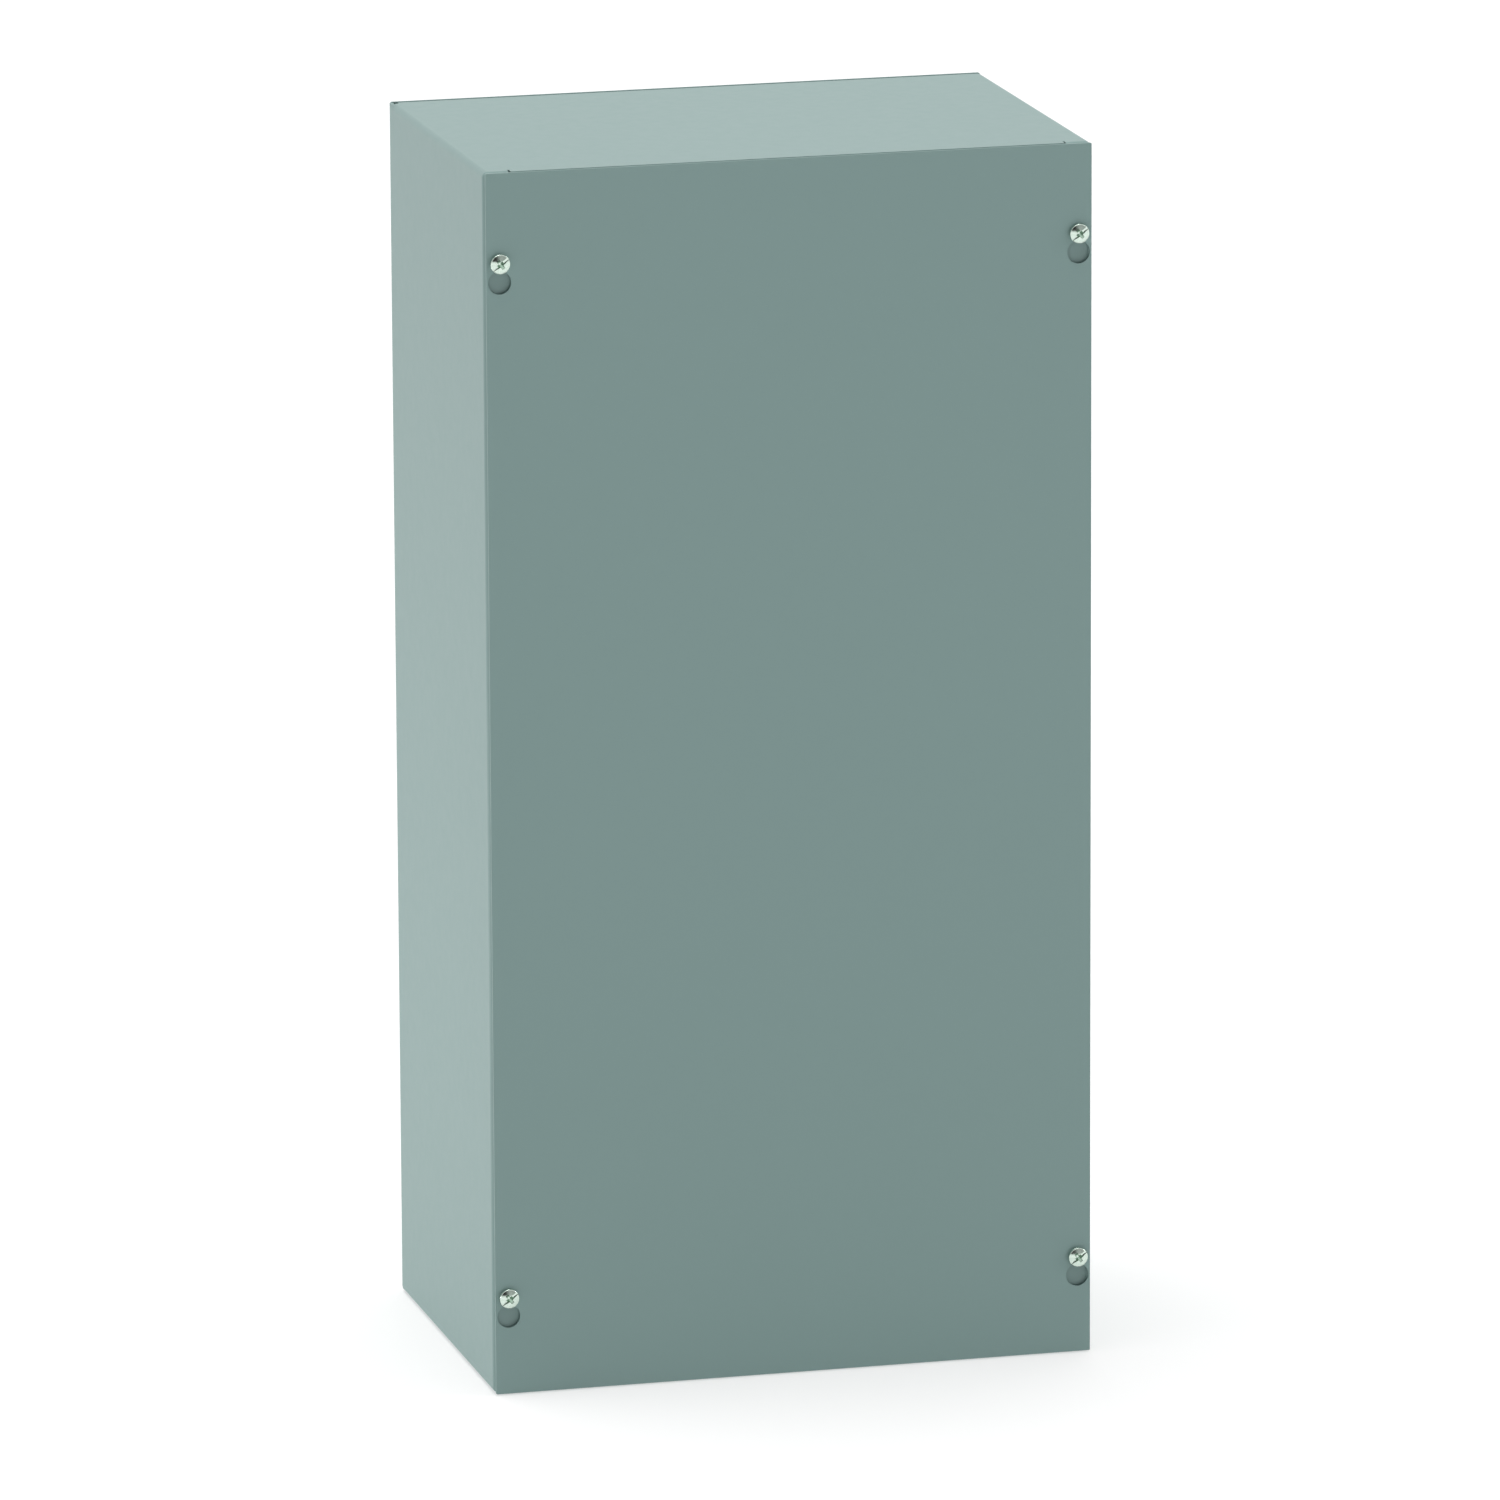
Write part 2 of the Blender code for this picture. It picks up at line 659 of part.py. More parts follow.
def pan_screw_mesh(name, grip):
    """A slotted pan head screw through this much, with its tail out of the panel's back."""
    length = grip + PAN_TAIL
    rim = arc((PAN_RADIUS - PAN_RIM, PAN_HEIGHT - PAN_RIM), PAN_RIM, math.pi / 2, 0, ARC_STEPS)
    profile = [
        (0, PAN_HEIGHT),
        *rim,
        (PAN_RADIUS, 0),
        (PAN_SHANK_RADIUS, 0),
        (PAN_SHANK_RADIUS, SHANK_CHAMFER - length),
        (PAN_SHANK_RADIUS - SHANK_CHAMFER, -length),
        (0, -length),
    ]
    screw = turned(name, profile, SMALL_STEPS)
    size = (2 * (PAN_RADIUS + PAST), PAN_SLOT_WIDTH, PAN_SLOT_DEPTH + PAST)
    cut(screw, block("slot", size), (0, 0, PAN_HEIGHT - PAN_SLOT_DEPTH + size[2] / 2))
    return baked(screw)


def make_rails():
    rail = rail_mesh()
    screw = pan_screw_mesh("rail_screw", PANEL_BACK_Y - RAIL_SEAT_Y)
    for level, z in rail_places():
        place(f"din_rail_{level}", rail, (0, PANEL_SEAT_Y, z), "galvanised_steel")
    for label, x, z in panel_screw_places()[0]:
        place(label, screw, (x, RAIL_SEAT_Y, z), "zinc_plate", FORWARD)


# The earth bar


def make_earth_bar():
    """The brass bar with a row of wire holes along Z, each with its screw hole from the front."""
    length = 2 * (EARTH_SCREW_X + EARTH_END)
    size = (length, EARTH_BAR_DEPTH, EARTH_BAR_HEIGHT)
    middle_y = (EARTH_FRONT_Y + EARTH_BACK_Y) / 2
    bar = place("earth_bar", block("earth_bar", size), (0, middle_y, EARTH_Z), "brass")
    first = -TERMINAL_SPAN / 2
    wire = rod("wire_holes", WIRE_HOLE_RADIUS, EARTH_BAR_HEIGHT + 2 * PAST, SMALL_STEPS)
    wires = cut(bar, wire, (first, EARTH_FRONT_Y + WIRE_HOLE_SETBACK, EARTH_Z))
    repeat(wires, TERMINALS, TERMINAL_PITCH)
    depth = WIRE_HOLE_SETBACK + PAST
    thread = rod("screw_holes", TERMINAL_SHANK_RADIUS + GAP, depth, SMALL_STEPS)
    threads = cut(bar, thread, (first, EARTH_FRONT_Y - PAST + depth / 2, EARTH_Z), FORWARD)
    repeat(threads, TERMINALS, TERMINAL_PITCH)
    for label, x, z in panel_screw_places()[1]:
        hole = rod(f"{label}_hole", PAN_SHANK_RADIUS + GAP, EARTH_BAR_DEPTH + 2 * PAST, SMALL_STEPS)
        cut(bar, hole, (x, middle_y, z), FORWARD)
    return bar


def terminal_screw_mesh():
    """A slotted cheese head whose shank ends above the wire hole."""
    length = WIRE_HOLE_SETBACK - WIRE_HOLE_RADIUS
    profile = [
        (0, TERMINAL_HEAD_HEIGHT),
        (TERMINAL_HEAD_RADIUS - TERMINAL_RIM, TERMINAL_HEAD_HEIGHT),
        (TERMINAL_HEAD_RADIUS, TERMINAL_HEAD_HEIGHT - TERMINAL_RIM),
        (TERMINAL_HEAD_RADIUS, 0),
        (TERMINAL_SHANK_RADIUS, 0),
        (TERMINAL_SHANK_RADIUS, -length),
        (0, -length),
    ]
    screw = turned("terminal_screw", profile, SMALL_STEPS)
    size = (2 * (TERMINAL_HEAD_RADIUS + PAST), PAN_SLOT_WIDTH, PAN_SLOT_DEPTH + PAST)
    cut(screw, block("slot", size), (0, 0, TERMINAL_HEAD_HEIGHT - PAN_SLOT_DEPTH + size[2] / 2))
    return baked(screw)


def make_earth_fixings():
    standoff = hex_nut_mesh("standoff", STANDOFF_FLATS, STANDOFF_HEIGHT, PAN_SHANK_RADIUS + GAP)
    screw = pan_screw_mesh("earth_bar_screw", PANEL_BACK_Y - EARTH_FRONT_Y + GAP)
    bar_screws = panel_screw_places()[1]
    for side, (label, x, z) in zip(SIDES, bar_screws):
        middle_y = PANEL_SEAT_Y - STANDOFF_HEIGHT / 2
        place(f"earth_bar_standoff_{side}", standoff, (x, middle_y, z), "zinc_plate", FORWARD)
        place(label, screw, (x, EARTH_FRONT_Y - GAP, z), "zinc_plate", FORWARD)
    terminal = terminal_screw_mesh()
    for i in range(TERMINALS):
        x = i * TERMINAL_PITCH - TERMINAL_SPAN / 2
        at = (x, EARTH_FRONT_Y - GAP, EARTH_Z)
        place(f"terminal_screw_{i + 1}", terminal, at, "zinc_plate", FORWARD)


clear_scene()
make_collection(PARTS)
make_collection(CUTTERS)
ORIGIN = bpy.data.objects.new("cabinet_origin", None)
bpy.data.collections[PARTS].objects.link(ORIGIN)

make_wrapper()
make_back_panel()
make_cover()
make_cover_fixings()
make_mounting_panel()
make_studs()
make_rails()
make_earth_bar()
make_earth_fixings()
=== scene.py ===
import json
import math

import bmesh
import bpy
from mathutils import Matrix, Vector


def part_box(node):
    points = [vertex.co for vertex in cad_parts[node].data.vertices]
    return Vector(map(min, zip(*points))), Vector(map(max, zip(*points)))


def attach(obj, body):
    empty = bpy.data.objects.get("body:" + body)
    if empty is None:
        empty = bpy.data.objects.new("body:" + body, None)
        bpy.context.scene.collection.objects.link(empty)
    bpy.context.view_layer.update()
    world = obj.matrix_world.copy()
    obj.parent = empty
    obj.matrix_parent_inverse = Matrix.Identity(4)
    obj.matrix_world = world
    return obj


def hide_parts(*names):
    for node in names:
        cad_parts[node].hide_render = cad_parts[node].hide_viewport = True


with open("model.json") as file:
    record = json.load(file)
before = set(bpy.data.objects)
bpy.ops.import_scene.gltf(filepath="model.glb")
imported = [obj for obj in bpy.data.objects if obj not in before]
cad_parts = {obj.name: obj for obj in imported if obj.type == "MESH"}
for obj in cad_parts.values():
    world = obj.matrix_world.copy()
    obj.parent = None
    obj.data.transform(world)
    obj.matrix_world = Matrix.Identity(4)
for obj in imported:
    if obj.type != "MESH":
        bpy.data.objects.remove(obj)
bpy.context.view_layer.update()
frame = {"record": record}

# What the record says of each node
BODIES = frame["record"]["behaviour"]["bodies"]
SLOTS = {part["node"]: part["material_slot"] for part in frame["record"]["subparts"]}
PANEL_FIXINGS = ("rail_screw", "earth_bar_screw")
PANEL_SCREWS = [node for node in sorted(SLOTS) if node.startswith(PANEL_FIXINGS)]
TERMINALS = sum(node.startswith("terminal_screw") for node in SLOTS)
SIDES = {"left": -1, "right": 1}
CORNERS = [f"{end}_{side}" for end in ("top", "bottom") for side in SIDES]

# Sizes that the frame's boxes don't give, in metres. First the folded sheet.
BEND = 0.0030  # outer radius of a fold
REAR_BEND = 0.0017  # the rear flanges are pressed tighter
FLANGE = 0.0130  # a side flange, from the outside of the wall
SIDE_NOTCH = 0.0009  # slot between a side flange and an end flange
NOTCH_REACH = 0.0014  # how far that slot runs past the fold
RELIEF = (0.0022, 0.0045, 0.0050)  # slot in the rear top left corner: across, deep, high
RELIEF_INSET = 0.0018
EAR_SETBACK = 0.0014  # the squared corner beside that slot starts this far from the rear
EAR_LENGTH = 0.0090
EDGE = 0.00016  # rounding that the paint leaves on a sheared edge
RAIL_EDGE, WASHER_EDGE, BAR_EDGE = 0.0001, 0.00008, 0.00022
SLIT = 0.0003  # gap that the frame keeps between two pieces
COVER_CORNER = 0.0006
REAR_CORNER = 0.0008
PANEL_CORNER = 0.0060
WALL_HOLE_RADIUS = 0.0040
WALL_HOLE_INSET = 0.0220
WELDS_UP, WELDS_ACROSS = 9, 4  # spot welds along each side and each end
WELD_MARK = ((0.0026, 0), (0.0021, -0.00014), (0.0010, -0.00018))  # rings: radius, rise
WELD_MARK_STEPS = 16

# Screws, studs and nuts
KEYHOLE_DROP = 0.0094
KEYHOLE_CLEARANCE = 0.0009
SHANK_RADIUS = 0.0024
STUD_RADIUS = 0.0031
COVER_PITCH = 0.000794  # threads: 32 and 20 to the inch, then metric ones
STUD_PITCH = 0.00127
PAN_PITCH = 0.0008
TERMINAL_PITCH = 0.0007
COVER_HEAD = 0.0030  # heights of the heads
PAN_HEAD = 0.0028
TERMINAL_HEAD = 0.0026
SLOT_TURN = math.radians(36)
DRIVER_SLOT = ((0.0120, 0.0011), (0.0120, 0.0010), 0.0014)  # its mouth, its floor, its depth
LIFT = 0.0002  # how far a cutter starts above the face that it cuts
AXIS = 0.0002  # radius of the small flat that ends a turned solid

# Rails and earth bar
RAIL_SHEET = 0.0010
RAIL_CHANNEL = 0.0270
RAIL_SLOT = (0.015, 0.0064)
RAIL_PITCH = 0.025
WIRE_RADIUS = 0.0024
TAP_RADIUS = 0.0021
THROUGH_RADIUS = 0.0027
WIRE_DEPTH = 0.006  # from the bar's face to the middle of a wire's hole

# Fineness of the meshes
FOLD_STEPS = 8
HOLE_STEPS = 32
ROUND_STEPS = 48
SMOOTH_ANGLE = math.radians(30)
WELD = 1e-6  # points this near are one
FORWARD = Matrix.Rotation(math.pi / 2, 4, "X")  # lays +Z along -Y, out of the cover

# Camera: its place is from the floor under the middle of the cover's face. Angles in degrees.
CAMERA_PLACE = (-1.5741, -5.9803, 1.7467)
YAW, PITCH, ROLL = 14.554, 13.028, 0.259
LENS, SENSOR = 311.83, 36

# Light
UNLIT = (-0.70, -0.70, 0.15)  # the studio is dark round this direction, and bright metal shows it
UNLIT_EDGE = (0.5, 0.85)  # cosines at which that dark region starts and is full
UNLIT_LEVEL = 0.03
SIDEWAYS = (0.7, 0.32)  # the studio's level at the far left and the far right
BACKDROP = 0.6  # what it gains behind the cabinet
BACKDROP_EDGE = (0.2, 0.9)
HORIZON = (0.07, 0.13)  # heights between which the pale band fades out
FLOOR_COLOUR = (0.47, 0.47, 0.47)
FLOOR_GLOW = 0.54
FLOOR_DROP = 0.0005
KEY_FROM, KEY, KEY_SPREAD = (-0.08, 0.03, 1), 1.9, 35  # the overhead light
KICKER_FROM, KICKER, KICKER_SPREAD = (0.85, -0.27, 0.46), 0.6, 16  # a glint from the right
CARD_PLACE, CARD_SIZE, CARD = (-0.8, 0.1, 0.08), (0.3, 0.2), 1.1

# Colours
PAINT = (0.207, 0.315, 0.301)
WHITE_PAINT = (0.78, 0.79, 0.77)
SCREW_SHADE_GAIN = 0.86  # painted shade: how bright the flange is painted round the cover's screws, so that the keyholes look shaded
SCREW_SHADE_EDGE = (0.0062, 0.0071)  # distances over which it fades out


def middle(node):
    low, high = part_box(node)
    return (low + high) / 2


def size(node):
    low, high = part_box(node)
    return high - low


# Shader nodes


class Shader:
    """A material's node tree, built by name."""

    def __init__(self, name):
        self.material = bpy.data.materials.new(name)
        self.material.use_nodes = True
        self.tree = self.material.node_tree
        self.surface = self.tree.nodes["Principled BSDF"]
        self.place = self.add("ShaderNodeTexCoord").outputs["Object"]

    def add(self, kind, **values):
        node = self.tree.nodes.new(kind)
        for name, value in values.items():
            setattr(node, name, value)
        return node

    def link(self, source, target):
        self.tree.links.new(source, target)

    def stretched(self, scale):
        """The surface's own coordinates, scaled along each axis."""
        mapping = self.add("ShaderNodeMapping")
        mapping.inputs["Scale"].default_value = scale
        self.link(self.place, mapping.inputs["Vector"])
        return mapping.outputs["Vector"]

    def noise(self, scale, detail=3.0, vector=None):
        texture = self.add("ShaderNodeTexNoise")
        texture.inputs["Scale"].default_value = scale
        texture.inputs["Detail"].default_value = detail
        self.link(vector or self.place, texture.inputs["Vector"])
        return texture.outputs["Fac"]

    def cells(self, scale, vector=None):
        texture = self.add("ShaderNodeTexVoronoi")
        texture.inputs["Scale"].default_value = scale
        self.link(vector or self.place, texture.inputs["Vector"])
        return texture

    def spread(self, value, low, high, start=0.3, stop=0.7):
        """Takes a texture's value from one range to another."""
        node = self.add("ShaderNodeMapRange")
        node.inputs["From Min"].default_value = start
        node.inputs["From Max"].default_value = stop
        node.inputs["To Min"].default_value = low
        node.inputs["To Max"].default_value = high
        self.link(value, node.inputs["Value"])
        return node.outputs["Result"]

    def blend(self, factor, first, second, start=0.3, stop=0.7):
        """Mixes two colours by a texture."""
        mix = self.add("ShaderNodeMix", data_type="RGBA")
        self.link(self.spread(factor, 0, 1, start, stop), mix.inputs["Factor"])
        for socket, colour in ((mix.inputs[6], first), (mix.inputs[7], second)):
            if isinstance(colour, bpy.types.NodeSocket):
                self.link(colour, socket)
            else:
                socket.default_value = (*colour, 1)
        return mix.outputs[2]

    def bump(self, height, distance, strength):
        node = self.add("ShaderNodeBump")
        node.inputs["Distance"].default_value = distance
        node.inputs["Strength"].default_value = strength
        self.link(height, node.inputs["Height"])
        return node.outputs["Normal"]

    def set(self, **values):
        for name, value in values.items():
            self.surface.inputs[name.replace("_", " ")].default_value = value

    def wear(self, colour, roughness, normal):
        """Connects what varies over the surface."""
        self.link(colour, self.surface.inputs["Base Color"])
        self.link(roughness, self.surface.inputs["Roughness"])
        self.link(normal, self.surface.inputs["Normal"])


def tinted(colour, gain):
    return tuple(channel * gain for channel in colour)


def painted_shade_round_screws(shader, colour, shaded_colour):
    """Painted shade: darkens the flange round the screws, where the cover lies over it, so that
    the keyholes look shaded.
    """
    folded = shader.add("ShaderNodeVectorMath", operation="ABSOLUTE")
    shader.link(shader.place, folded.inputs[0])
    nearest = None
    for node in ("cover_screw_top_right", "cover_screw_bottom_right"):
        away = shader.add("ShaderNodeVectorMath", operation="DISTANCE")
        at = middle(node)
        away.inputs[1].default_value = (at.x, -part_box("wrapper")[0].y, at.z - KEYHOLE_DROP)
        shader.link(folded.outputs["Vector"], away.inputs[0])
        smaller = shader.add("ShaderNodeMath", operation="MINIMUM")
        shader.link(away.outputs["Value"], smaller.inputs[0])
        if nearest:
            shader.link(nearest, smaller.inputs[1])
        else:
            smaller.inputs[1].default_value = 1
        nearest = smaller.outputs["Value"]
    shade_amount = shader.spread(nearest, 1, 0, *SCREW_SHADE_EDGE)
    return shader.blend(shade_amount, colour, shaded_colour, 0, 1)


def powder_coat(name, colour, gloss=0.44, shaded_round_screws=False):
    """Baked polyester powder: a satin skin with a faint orange peel."""
    shader = Shader(name)
    clouds = shader.blend(shader.noise(7, 2.0), tinted(colour, 0.993), tinted(colour, 1.007))
    grain = shader.blend(shader.noise(1800, 2.0), tinted(colour, 0.98), tinted(colour, 1.02))
    mixed = shader.blend(shader.noise(500, 2.0), clouds, grain)
    # painted shade: the flange is painted darker round the cover's screws, in place of the shade
    # inside the keyholes
    if shaded_round_screws:
        mixed = painted_shade_round_screws(shader, mixed, tinted(colour, SCREW_SHADE_GAIN))
    rough = shader.spread(shader.noise(180, 2.0), gloss - 0.015, gloss + 0.015)
    skin = shader.bump(shader.noise(500, 2.0), 0.000006, 0.5)
    shader.wear(mixed, rough, skin)
    shader.set(IOR=1.5)
    return shader.material


def plated(name, light, dark, gloss, grain=900):
    """Zinc plate: a bright metal, mottled by its passivate."""
    shader = Shader(name)
    mottle = shader.noise(grain, 4.0)
    cloud = shader.noise(grain / 8, 2.0)
    rough = shader.spread(cloud, gloss - 0.06, gloss + 0.10)
    skin = shader.bump(shader.noise(grain * 3, 2.0), 0.00001, 0.35)
    shader.wear(shader.blend(mottle, light, dark), rough, skin)
    shader.set(Metallic=1.0)
    return shader.material


def galvanised(name):
    """Hot-dip strip: small spangles, drawn out a little along the rail."""
    shader = Shader(name)
    vector = shader.stretched((0.6, 1.0, 1.0))
    spangle = shader.cells(420, vector)
    streak = shader.noise(60, 4.0, shader.stretched((0.06, 1.0, 1.0)))
    base = shader.blend(spangle.outputs["Color"], (0.50, 0.53, 0.55), (0.64, 0.66, 0.67))
    colour = shader.blend(streak, base, (0.57, 0.58, 0.58))
    rough = shader.spread(streak, 0.28, 0.44)
    skin = shader.bump(spangle.outputs["Distance"], 0.00002, 0.30)
    shader.wear(colour, rough, skin)
    shader.set(Metallic=1.0)
    return shader.material


def drawn_brass(name):
    """Extruded brass with drawing lines along the bar and a first breath of tarnish."""
    shader = Shader(name)
    lines = shader.noise(900, 3.0, shader.stretched((0.015, 1.0, 1.0)))
    tarnish = shader.noise(70, 4.0)
    base = shader.blend(lines, (0.70, 0.50, 0.20), (0.82, 0.62, 0.30))
    colour = shader.blend(tarnish, base, (0.62, 0.43, 0.19))
    rough = shader.spread(tarnish, 0.22, 0.40)
    shader.wear(colour, rough, shader.bump(lines, 0.000015, 0.5))
    shader.set(Metallic=1.0)
    return shader.material


MATERIALS = {
    # the body's paint carries painted shade round the cover's screws
    "body": powder_coat("grey_green_powder_coat_painted_shade", PAINT, shaded_round_screws=True),
    "cover": powder_coat("cover_powder_coat", PAINT, 0.46),
    "panel": powder_coat("white_powder_coat", WHITE_PAINT, 0.38),
    "screw": plated("bright_zinc", (0.70, 0.81, 0.73), (0.58, 0.70, 0.62), 0.20),
    "nut": plated("weld_nut_zinc", (0.62, 0.65, 0.64), (0.50, 0.52, 0.50), 0.34, 600),
    "stud": plated("stud_zinc", (0.68, 0.71, 0.71), (0.56, 0.60, 0.60), 0.28, 700),
    "washer": plated("washer_zinc", (0.60, 0.62, 0.63), (0.48, 0.50, 0.50), 0.36, 800),
    "yellow": plated("passivated_zinc", (0.74, 0.72, 0.62), (0.62, 0.62, 0.56), 0.26, 600),
    "rail": galvanised("galvanised_strip"),
    "brass": drawn_brass("drawn_brass"),
}


# Meshes


def resmoothed(mesh):
    mesh.shade_smooth()
    mesh.set_sharp_from_angle(angle=SMOOTH_ANGLE)
    return mesh


def mesh_of(name, bm):
    bmesh.ops.remove_doubles(bm, verts=bm.verts, dist=WELD)
    bmesh.ops.dissolve_degenerate(bm, edges=bm.edges, dist=WELD)
    bmesh.ops.recalc_face_normals(bm, faces=bm.faces)
    mesh = bpy.data.meshes.new(name)
    bm.to_mesh(mesh)
    bm.free()
    return resmoothed(mesh)


def shown(name, data, at=None):
    """An object with this mesh, camera or lamp, at a point or under a matrix."""
    obj = bpy.data.objects.new(name, data)
    bpy.context.scene.collection.objects.link(obj)
    if isinstance(at, Matrix):
        obj.matrix_world = at
    elif at is not None:
        obj.location = at
    return obj


def dress(obj, node, finish):
    """The piece stands for this CAD node: its body and its look."""
    owner = next(body for body, nodes in BODIES.items() if node in nodes)
    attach(obj, owner)
    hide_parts(node)
    obj.data.materials.clear()
    obj.data.materials.append(MATERIALS[finish])


def baked(obj):
    """The object's mesh with its modifiers applied. The object is removed."""
    bpy.context.view_layer.update()
    graph = bpy.context.evaluated_depsgraph_get()
    mesh = bpy.data.meshes.new_from_object(obj.evaluated_get(graph))
    mesh.name = obj.name
    bpy.data.objects.remove(obj)
    return mesh


def rounded_edges(obj, width, angle=40):
    bevel = obj.modifiers.new("edges", "BEVEL")
    bevel.width = width
    bevel.segments = 2
    bevel.limit_method = "ANGLE"
    bevel.angle_limit = math.radians(angle)
    bevel.miter_outer = "MITER_ARC"
    even_shading(obj)


def even_shading(obj):
    """Shades the large flat faces flat, and blends only the small ones at their edges."""
    even = obj.modifiers.new("even", "WEIGHTED_NORMAL")
    even.keep_sharp = True
    even.weight = 100


def thickened(obj, thickness, offset=-1):
    solid = obj.modifiers.new("sheet", "SOLIDIFY")
    solid.thickness = thickness
    solid.offset = offset
    solid.use_even_offset = True
    solid.use_quality_normals = True


def booleaned(target, cutters, operation="DIFFERENCE"):
    """Cuts the meshes out of the target, each under its own matrix, and returns the mesh."""
    helpers = []
    for mesh, at in cutters:
        helper = shown("cutter", mesh, at)
        helpers.append(helper)
        modifier = target.modifiers.new("cut", "BOOLEAN")
        modifier.operation = operation
        modifier.object = helper
    mesh = baked(target)
    for helper in helpers:
        bpy.data.objects.remove(helper)
    return mesh


def arc(centre, radius, start, stop, steps):
    angles = [start + (stop - start) * i / steps for i in range(steps + 1)]
    return [
        (centre[0] + radius * math.cos(angle), centre[1] + radius * math.sin(angle))
        for angle in angles
    ]


def circle(centre, radius, steps=HOLE_STEPS):
    return arc(centre, radius, 0, 2 * math.pi, steps)[:-1]


def rectangle(low, high, corner=0.0):
    """Points of a rectangle, its corners rounded if asked."""
    if not corner:
        return [low, (high[0], low[1]), high, (low[0], high[1])]
    points = []
    centres = (
        (high[0] - corner, high[1] - corner),
        (low[0] + corner, high[1] - corner),
        (low[0] + corner, low[1] + corner),
        (high[0] - corner, low[1] + corner),
    )
    for quarter, centre in enumerate(centres):
        start = quarter * math.pi / 2
        points += arc(centre, corner, start, start + math.pi / 2, FOLD_STEPS)
    return points


def stadium(centre, length, width):
    reach, half = (length - width) / 2, math.pi / 2
    x, y = centre
    right = arc((x + reach, y), width / 2, -half, half, HOLE_STEPS // 2)
    left = arc((x - reach, y), width / 2, half, 3 * half, HOLE_STEPS // 2)
    return right + left


def fill(bm, loops, place, outward):
    """Fills the flat region between outlines. place puts an outline's point in space."""
    edges = []
    for loop in loops:
        verts = [bm.verts.new(place(*point)) for point in loop]
        edges += [bm.edges.new(pair) for pair in zip(verts, verts[1:] + verts[:1])]
    made = bmesh.ops.triangle_fill(bm, edges=edges, use_beauty=True, normal=outward)
    return [item for item in made["geom"] if isinstance(item, bmesh.types.BMFace)]


def weld_mark(bm, centre, y):
    """The shallow dimple of a spot weld, in a hole left for it."""
    rings = [
        [bm.verts.new((x, y + rise, z)) for x, z in circle(centre, radius, WELD_MARK_STEPS)]
        for radius, rise in WELD_MARK
    ]
    for outer, inner in zip(rings, rings[1:]):
        for i in range(WELD_MARK_STEPS):
            j = (i + 1) % WELD_MARK_STEPS
            bm.faces.new((outer[i], outer[j], inner[j], inner[i]))
    bm.faces.new(rings[-1])


def flat_sheet(name, loops, y, thickness, welds=()):
    """A sheet with its front face at y, cut to these XZ outlines, its edges rounded by the paint.
    Each weld is the (x, z) of a mark."""
    bm = bmesh.new()
    marks = [circle(centre, WELD_MARK[0][0], WELD_MARK_STEPS) for centre in welds]
    fill(bm, loops + marks, lambda x, z: (x, y, z), (0, -1, 0))
    for centre in welds:
        weld_mark(bm, centre, y)
    mesh = mesh_of(name, bm)
    faces_front(mesh)
    obj = shown(name, mesh)
    thickened(obj, thickness)
    rounded_edges(obj, EDGE)
    return obj


def faces_front(mesh):
    """Turns a flat sheet's faces to -Y, so that its thickness goes back."""
    largest = max(mesh.polygons, key=lambda polygon: polygon.area)
    if largest.normal.y > 0:
        mesh.flip_normals()


def tapered_block(name, top, bottom, depth):
    """A block that narrows from its top at zero down to -depth."""
    bm = bmesh.new()
    bmesh.ops.create_cube(bm, size=1)
    for vert in bm.verts:
        width, length = top if vert.co.z > 0 else bottom
        vert.co.x *= width
        vert.co.y *= length
        vert.co.z = 0 if vert.co.z > 0 else -depth
    return mesh_of(name, bm)


def block(name, extent):
    bm = bmesh.new()
    bmesh.ops.create_cube(bm, size=1)
    bmesh.ops.scale(bm, vec=extent, verts=bm.verts)
    return mesh_of(name, bm)


def revolved(name, rows, steps=ROUND_STEPS, pitch=0.001):
    """A solid of revolution about Z from (radius, height, thread depth) rows, top to bottom.
    A row's thread depth cuts a V into its radius along a right-hand helix of this pitch."""
    bm = bmesh.new()
    rings = []
    for radius, height, depth in rows:
        ring = []
        for i in range(steps):
            angle = 2 * math.pi * i / steps
            phase = (height / pitch - i / steps) % 1
            cut = depth * (1 - abs(2 * phase - 1)) * 1.15
            reach = radius - min(cut, depth)
            ring.append(bm.verts.new((reach * math.cos(angle), reach * math.sin(angle), height)))
        rings.append(ring)
    for upper, lower in zip(rings, rings[1:]):
        for i in range(steps):
            j = (i + 1) % steps
            bm.faces.new((upper[i], lower[i], lower[j], upper[j]))
    bm.faces.new(rings[0])
    bm.faces.new(reversed(rings[-1]))
    return mesh_of(name, bm)


def threaded(radius, start, stop, pitch, depth, rows_per_turn=6):
    """Rows of a threaded stretch from start down to stop, fading out at both ends."""
    count = max(2, round(abs(start - stop) / pitch * rows_per_turn))
    rows = []
    for i in range(count + 1):
        height = start + (stop - start) * i / count
        fade = min(1, i / rows_per_turn, (count - i) / rows_per_turn)
        rows.append((radius, height, depth * fade))
    return rows


def plain(*points):
    """Rows without a thread."""
    return [(radius, height, 0) for radius, height in points]


def domed(radius, rim, top, steps):
    """Rows of a head's rim, from its flat top round to its side."""
    return plain(*arc((radius - rim, top - rim), rim, math.pi / 2, 0, steps))


# The box


def ring_stations(low, high, splits):
    """Stations round the box: the centre of its fold and the outward normal, each as (x, z).
    splits are places along the end walls that get a station of their own."""
    centres = (
        (high.x - BEND, high.z - BEND),
        (low.x + BEND, high.z - BEND),
        (low.x + BEND, low.z + BEND),
        (high.x - BEND, low.z + BEND),
    )
    stations = []
    for quarter, centre in enumerate(centres):
        for i in range(FOLD_STEPS + 1):
            angle = (quarter + i / FOLD_STEPS) * math.pi / 2
            stations.append((centre, (math.cos(angle), math.sin(angle))))
        if quarter in (0, 2):
            ordered = sorted(splits, reverse=quarter == 0)
            stations += [((x, centre[1]), stations[-1][1]) for x in ordered]
    return stations


